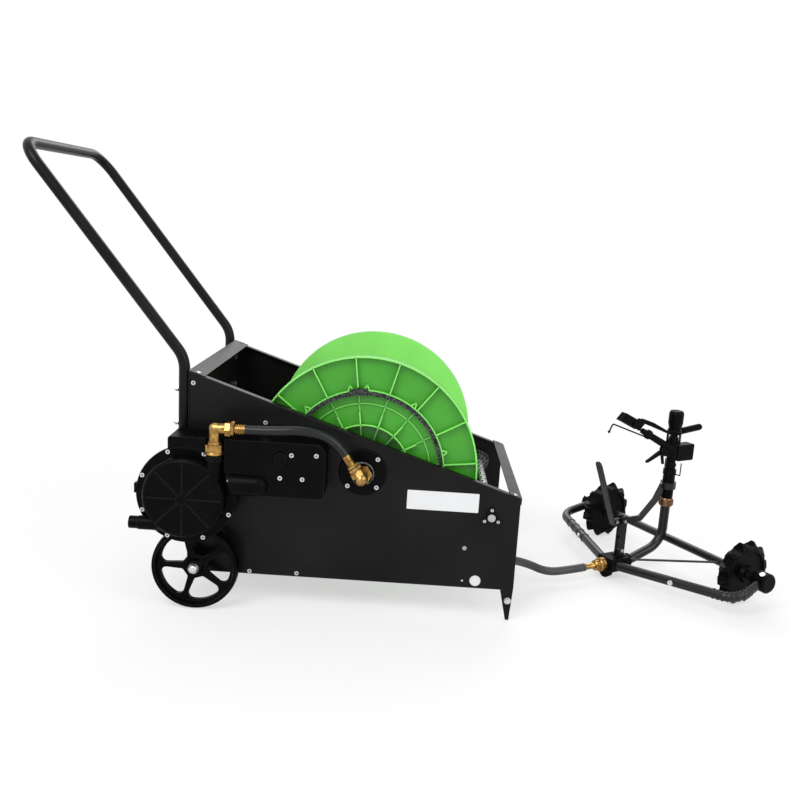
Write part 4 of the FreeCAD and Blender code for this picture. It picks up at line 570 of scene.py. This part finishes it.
def crossed_screw(m):
    """Level-wind screw with a right-handed and a left-handed groove."""
    low, high, lead = -247.0, 215.5, 36.0
    radius, groove, half_width, flank, end_depth = 9.0, 2.2, 3.4, 1.2, 0.6
    neck, cap = 6, 9
    around, along = 48, 420
    vertices, faces = [], []
    for j in range(along + 1):
        y = low + (high - low) * j / along
        for i in range(around):
            angle = 2 * math.pi * i / around
            depth = 0.0
            for hand in (1, -1):
                turn = (hand * y / lead - angle / (2 * math.pi)) % 1.0
                off = min(turn, 1 - turn) * lead
                depth = max(depth, groove * min(1.0, max(0.0, (half_width - off) / flank)))
            if j in (0, along):
                depth = end_depth
            r = radius - depth
            vertices.append(place(SCREW[0] + r * math.cos(angle), y, SCREW[1] + r * math.sin(angle)))
    for j in range(along):
        for i in range(around):
            a, b = j * around + i, j * around + (i + 1) % around
            faces.append((a, b, b + around, a + around))
    faces.append(tuple(range(around)))
    faces.append(tuple(along * around + k for k in reversed(range(around))))
    for y0, y1, r in ((-257.0, low, neck), (high, 257.0, neck), (-258.5, -256.3, cap),
                      (256.3, 258.5, cap)):
        base = len(vertices)
        for y in (y0, y1):
            for i in range(around):
                angle = 2 * math.pi * i / around
                vertices.append(place(SCREW[0] + r * math.cos(angle), y, SCREW[1] + r * math.sin(angle)))
        for i in range(around):
            a, b = base + i, base + (i + 1) % around
            faces.append((a, b, b + around, a + around))
        faces.append(tuple(base + k for k in range(around)))
        faces.append(tuple(base + around + k for k in reversed(range(around))))
    piece = mesh_piece("crossed_level_wind_screw", vertices, faces, m["steel"])
    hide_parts("level_wind_screw")
    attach(piece, "level_screw")


def loop_point(share, radius):
    """Place and heading on the chain's loop, share of the way round."""
    a, b = Vector((REEL[0], REEL[1])), Vector((SCREW[0], SCREW[1]))
    run = (b - a).length
    along = (b - a) / run
    side = Vector((-along.y, along.x))
    total = 2 * run + 2 * math.pi * radius
    s = (share % 1.0) * total
    if s < run:
        return a + side * radius + along * s, along
    s -= run
    if s < math.pi * radius:
        turn = s / radius
        out = side * math.cos(turn) + along * math.sin(turn)
        return b + out * radius, along * math.cos(turn) - side * math.sin(turn)
    s -= math.pi * radius
    if s < run:
        return b - side * radius - along * s, -along
    s -= run
    turn = s / radius
    out = -side * math.cos(turn) - along * math.sin(turn)
    return a + out * radius, -along * math.cos(turn) + side * math.sin(turn)


def link_chain(m):
    """Roller chain on the left side, from the reel's axle to the level-wind screw."""
    run = math.hypot(SCREW[0] - REEL[0], SCREW[1] - REEL[1])
    links = 2 * round((2 * run + 2 * math.pi * CHAIN_RADIUS) / LINK_PITCH / 2)
    outer_plates, inner_plates = ((229.0, 229.8), (233.2, 234.0)), ((230.0, 230.8), (232.2, 233.0))
    plate_end, waist, roller_radius = 2.5, 1.9, 1.9
    vertices, faces = [], []

    def bar(outline, y0, y1):
        base = len(vertices)
        n = len(outline)
        for y in (y0, y1):
            vertices.extend(place(p.x, y, p.y) for p in outline)
        for k in range(n):
            a, b = base + k, base + (k + 1) % n
            faces.append((a, b, b + n, a + n))
        faces.append(tuple(base + k for k in reversed(range(n))))
        faces.append(tuple(base + n + k for k in range(n)))

    for k in range(links):
        p, _ = loop_point(k / links, CHAIN_RADIUS)
        q, _ = loop_point((k + 1) / links, CHAIN_RADIUS)
        along = (q - p).normalized()
        side = Vector((-along.y, along.x))
        outline = []
        for centre, start in ((q, -90), (p, 90)):
            for step in range(7):
                turn = math.radians(start + 30 * step)
                outline.append(centre + along * plate_end * math.cos(turn)
                               + side * plate_end * math.sin(turn))
        middle = (p + q) / 2
        outline.insert(7, middle + side * waist)
        outline.append(middle - side * waist)
        for y0, y1 in (outer_plates if k % 2 else inner_plates):
            bar(outline, y0, y1)
        roller = [p + Vector((math.cos(t), math.sin(t))) * roller_radius
                  for t in (2 * math.pi * i / 12 for i in range(12))]
        bar(roller, outer_plates[0][0], outer_plates[1][1])
    piece = mesh_piece("roller_chain", vertices, faces, m["dark_steel"], 35.0)
    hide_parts("level_wind_chain")
    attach(piece, "cart")


def screw_recesses(m):
    """Dark crosses on the heads of the screws on both sides of the cart, painted shade that stands in for
    their cross recesses.
    """
    plate, bearing, panel, housing, turbine = -255.0, -254.0, -250.0, -330.0, -315.0
    head, small_head = 5.0, 3.6
    places = [(REEL[0] + dx, plate, REEL[1] + dz, head) for dx in (-33, 33) for dz in (-33, 33)]
    for k in range(3):
        turn = math.pi / 2 + 2 * math.pi * k / 3
        places.append((SCREW[0] + 18 * math.cos(turn), bearing, SCREW[1] + 18 * math.sin(turn),
                       small_head))
    places += [(x, panel, z, head) for x, z in ((173, 439), (145, 82), (255, 84), (9, 520), (9, 120))]
    places += [(x, -y, z, r) for x, y, z, r in places]
    places += [(x, housing, z, head) for x, z in ((245, 389), (221, 336), (270, 336), (299, 391))]
    for k in range(8):
        turn = 2 * math.pi * (k + 0.5) / 8
        places.append((TURBINE[0] + TURBINE_SCREWS * math.cos(turn), turbine,
                       TURBINE[1] + TURBINE_SCREWS * math.sin(turn), head))
    # Each cross is a pair of thin dark boxes near the head's face, painted shade in place of a hollow
    # recess
    sunk, top = 2.3, 2.68
    arm_length, arm_width = 0.66, 0.15
    box = ((3, 2, 1, 0), (4, 5, 6, 7), (0, 1, 5, 4), (1, 2, 6, 5), (2, 3, 7, 6), (3, 0, 4, 7))
    vertices, faces = [], []
    for k, (x, y, z, r) in enumerate(places):
        side = 1 if y > 0 else -1
        for turn in (0.4 + 1.1 * k, 0.4 + 1.1 * k + math.pi / 2):
            base = len(vertices)
            along, across = (math.cos(turn), math.sin(turn)), (-math.sin(turn), math.cos(turn))
            for out in (sunk, top):
                for a, b in ((-1, -1), (1, -1), (1, 1), (-1, 1)):
                    a, b = a * r * arm_length, b * r * arm_width
                    vertices.append(place(x + a * along[0] + b * across[0], y + side * out,
                                          z + a * along[1] + b * across[1]))
            faces += [tuple(base + i for i in f) for f in box]
    piece = mesh_piece("screw_recesses", vertices, faces, m["recess"], 0)
    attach(piece, "cart")


# Floor and light
def stage():
    """Light floor that fades to white away from the part, white world and three soft lights."""
    mesh = bpy.data.meshes.new("floor")
    mesh.from_pydata([(-12, -8, 0), (12, -8, 0), (12, 16, 0), (-12, 16, 0)], [], [(0, 1, 2, 3)])
    floor = bpy.data.objects.new("floor", mesh)
    floor.location.z = -0.0005
    bpy.context.collection.objects.link(floor)
    s = Surface("floor_white").set(Base_Color=(0.90, 0.90, 0.90, 1), Roughness=0.9)
    white = s.add("ShaderNodeEmission")
    away = s.add("ShaderNodeVectorMath", {0: s.place}, operation="LENGTH")
    fade = s.add("ShaderNodeMapRange", {"Value": away.outputs["Value"], "From Min": 0.5, "From Max": 2.1,
                                        "To Min": 0.55}, interpolation_type="SMOOTHSTEP")
    seen = s.add("ShaderNodeLightPath").outputs["Is Camera Ray"]
    share = s.add("ShaderNodeMath", {0: fade.outputs["Result"], 1: seen}, operation="MULTIPLY")
    mix = s.add("ShaderNodeMixShader", {0: share.outputs[0], 1: s.shader.outputs[0], 2: white.outputs[0]})
    s.tree.links.new(mix.outputs[0], s.tree.nodes["Material Output"].inputs["Surface"])
    mesh.materials.append(s.material)

    world = bpy.data.worlds.new("studio")
    bpy.context.scene.world = world
    world.use_nodes = True
    tree = world.node_tree
    path = add_node(tree, "ShaderNodeLightPath").outputs
    most = add_node(tree, "ShaderNodeMath", {0: path["Is Camera Ray"], 1: path["Is Glossy Ray"]},
                    operation="MAXIMUM")
    seen = add_node(tree, "ShaderNodeMath", {0: most.outputs[0], 1: path["Is Transmission Ray"]},
                    operation="MAXIMUM")
    strength = add_node(tree, "ShaderNodeMapRange", {"Value": seen.outputs[0], "To Min": 0.55})
    background = tree.nodes["Background"]
    tree.links.new(strength.outputs["Result"], background.inputs["Strength"])
    background.inputs["Color"].default_value = (1, 1, 1, 1)

    for name, at, size, power in (("key", (-1.6, -2.6, 3.2), 2.2, 95.0),
                                  ("fill", (2.8, -2.2, 2.0), 2.4, 45.0),
                                  ("back", (0.4, 3.0, 3.0), 2.6, 60.0)):
        light = bpy.data.lights.new(name, "AREA")
        light.size, light.energy = size, power
        lamp = bpy.data.objects.new(name, light)
        lamp.location = at
        lamp.rotation_euler = (Vector((0, 0, 0.35)) - Vector(at)).to_track_quat("-Z", "Y").to_euler()
        bpy.context.collection.objects.link(lamp)


def dress_nodes(m):
    """Gives every CAD node the material of its slot, or its own look where the photo shows one."""
    own_look = {"riser_nut": "aged_brass", "ring_chain": "chain"}
    for entry in frame["record"]["subparts"]:
        node = frame["nodes"].get(entry["node"])
        if node is None:
            continue
        look = own_look.get(entry["node"], entry["material_slot"])
        node.data.materials.clear()
        node.data.materials.append(m[look])


bpy.context.scene.view_settings.view_transform = "Standard"
add_camera()
m = materials()
dress_nodes(m)
windings(m)
feed_hose(m)
towing_hose(m)
ribbed_flange(m)
ring_chain_plates(m)
brass_fittings(m)
crossed_screw(m)
link_chain(m)
screw_recesses(m)
stage()
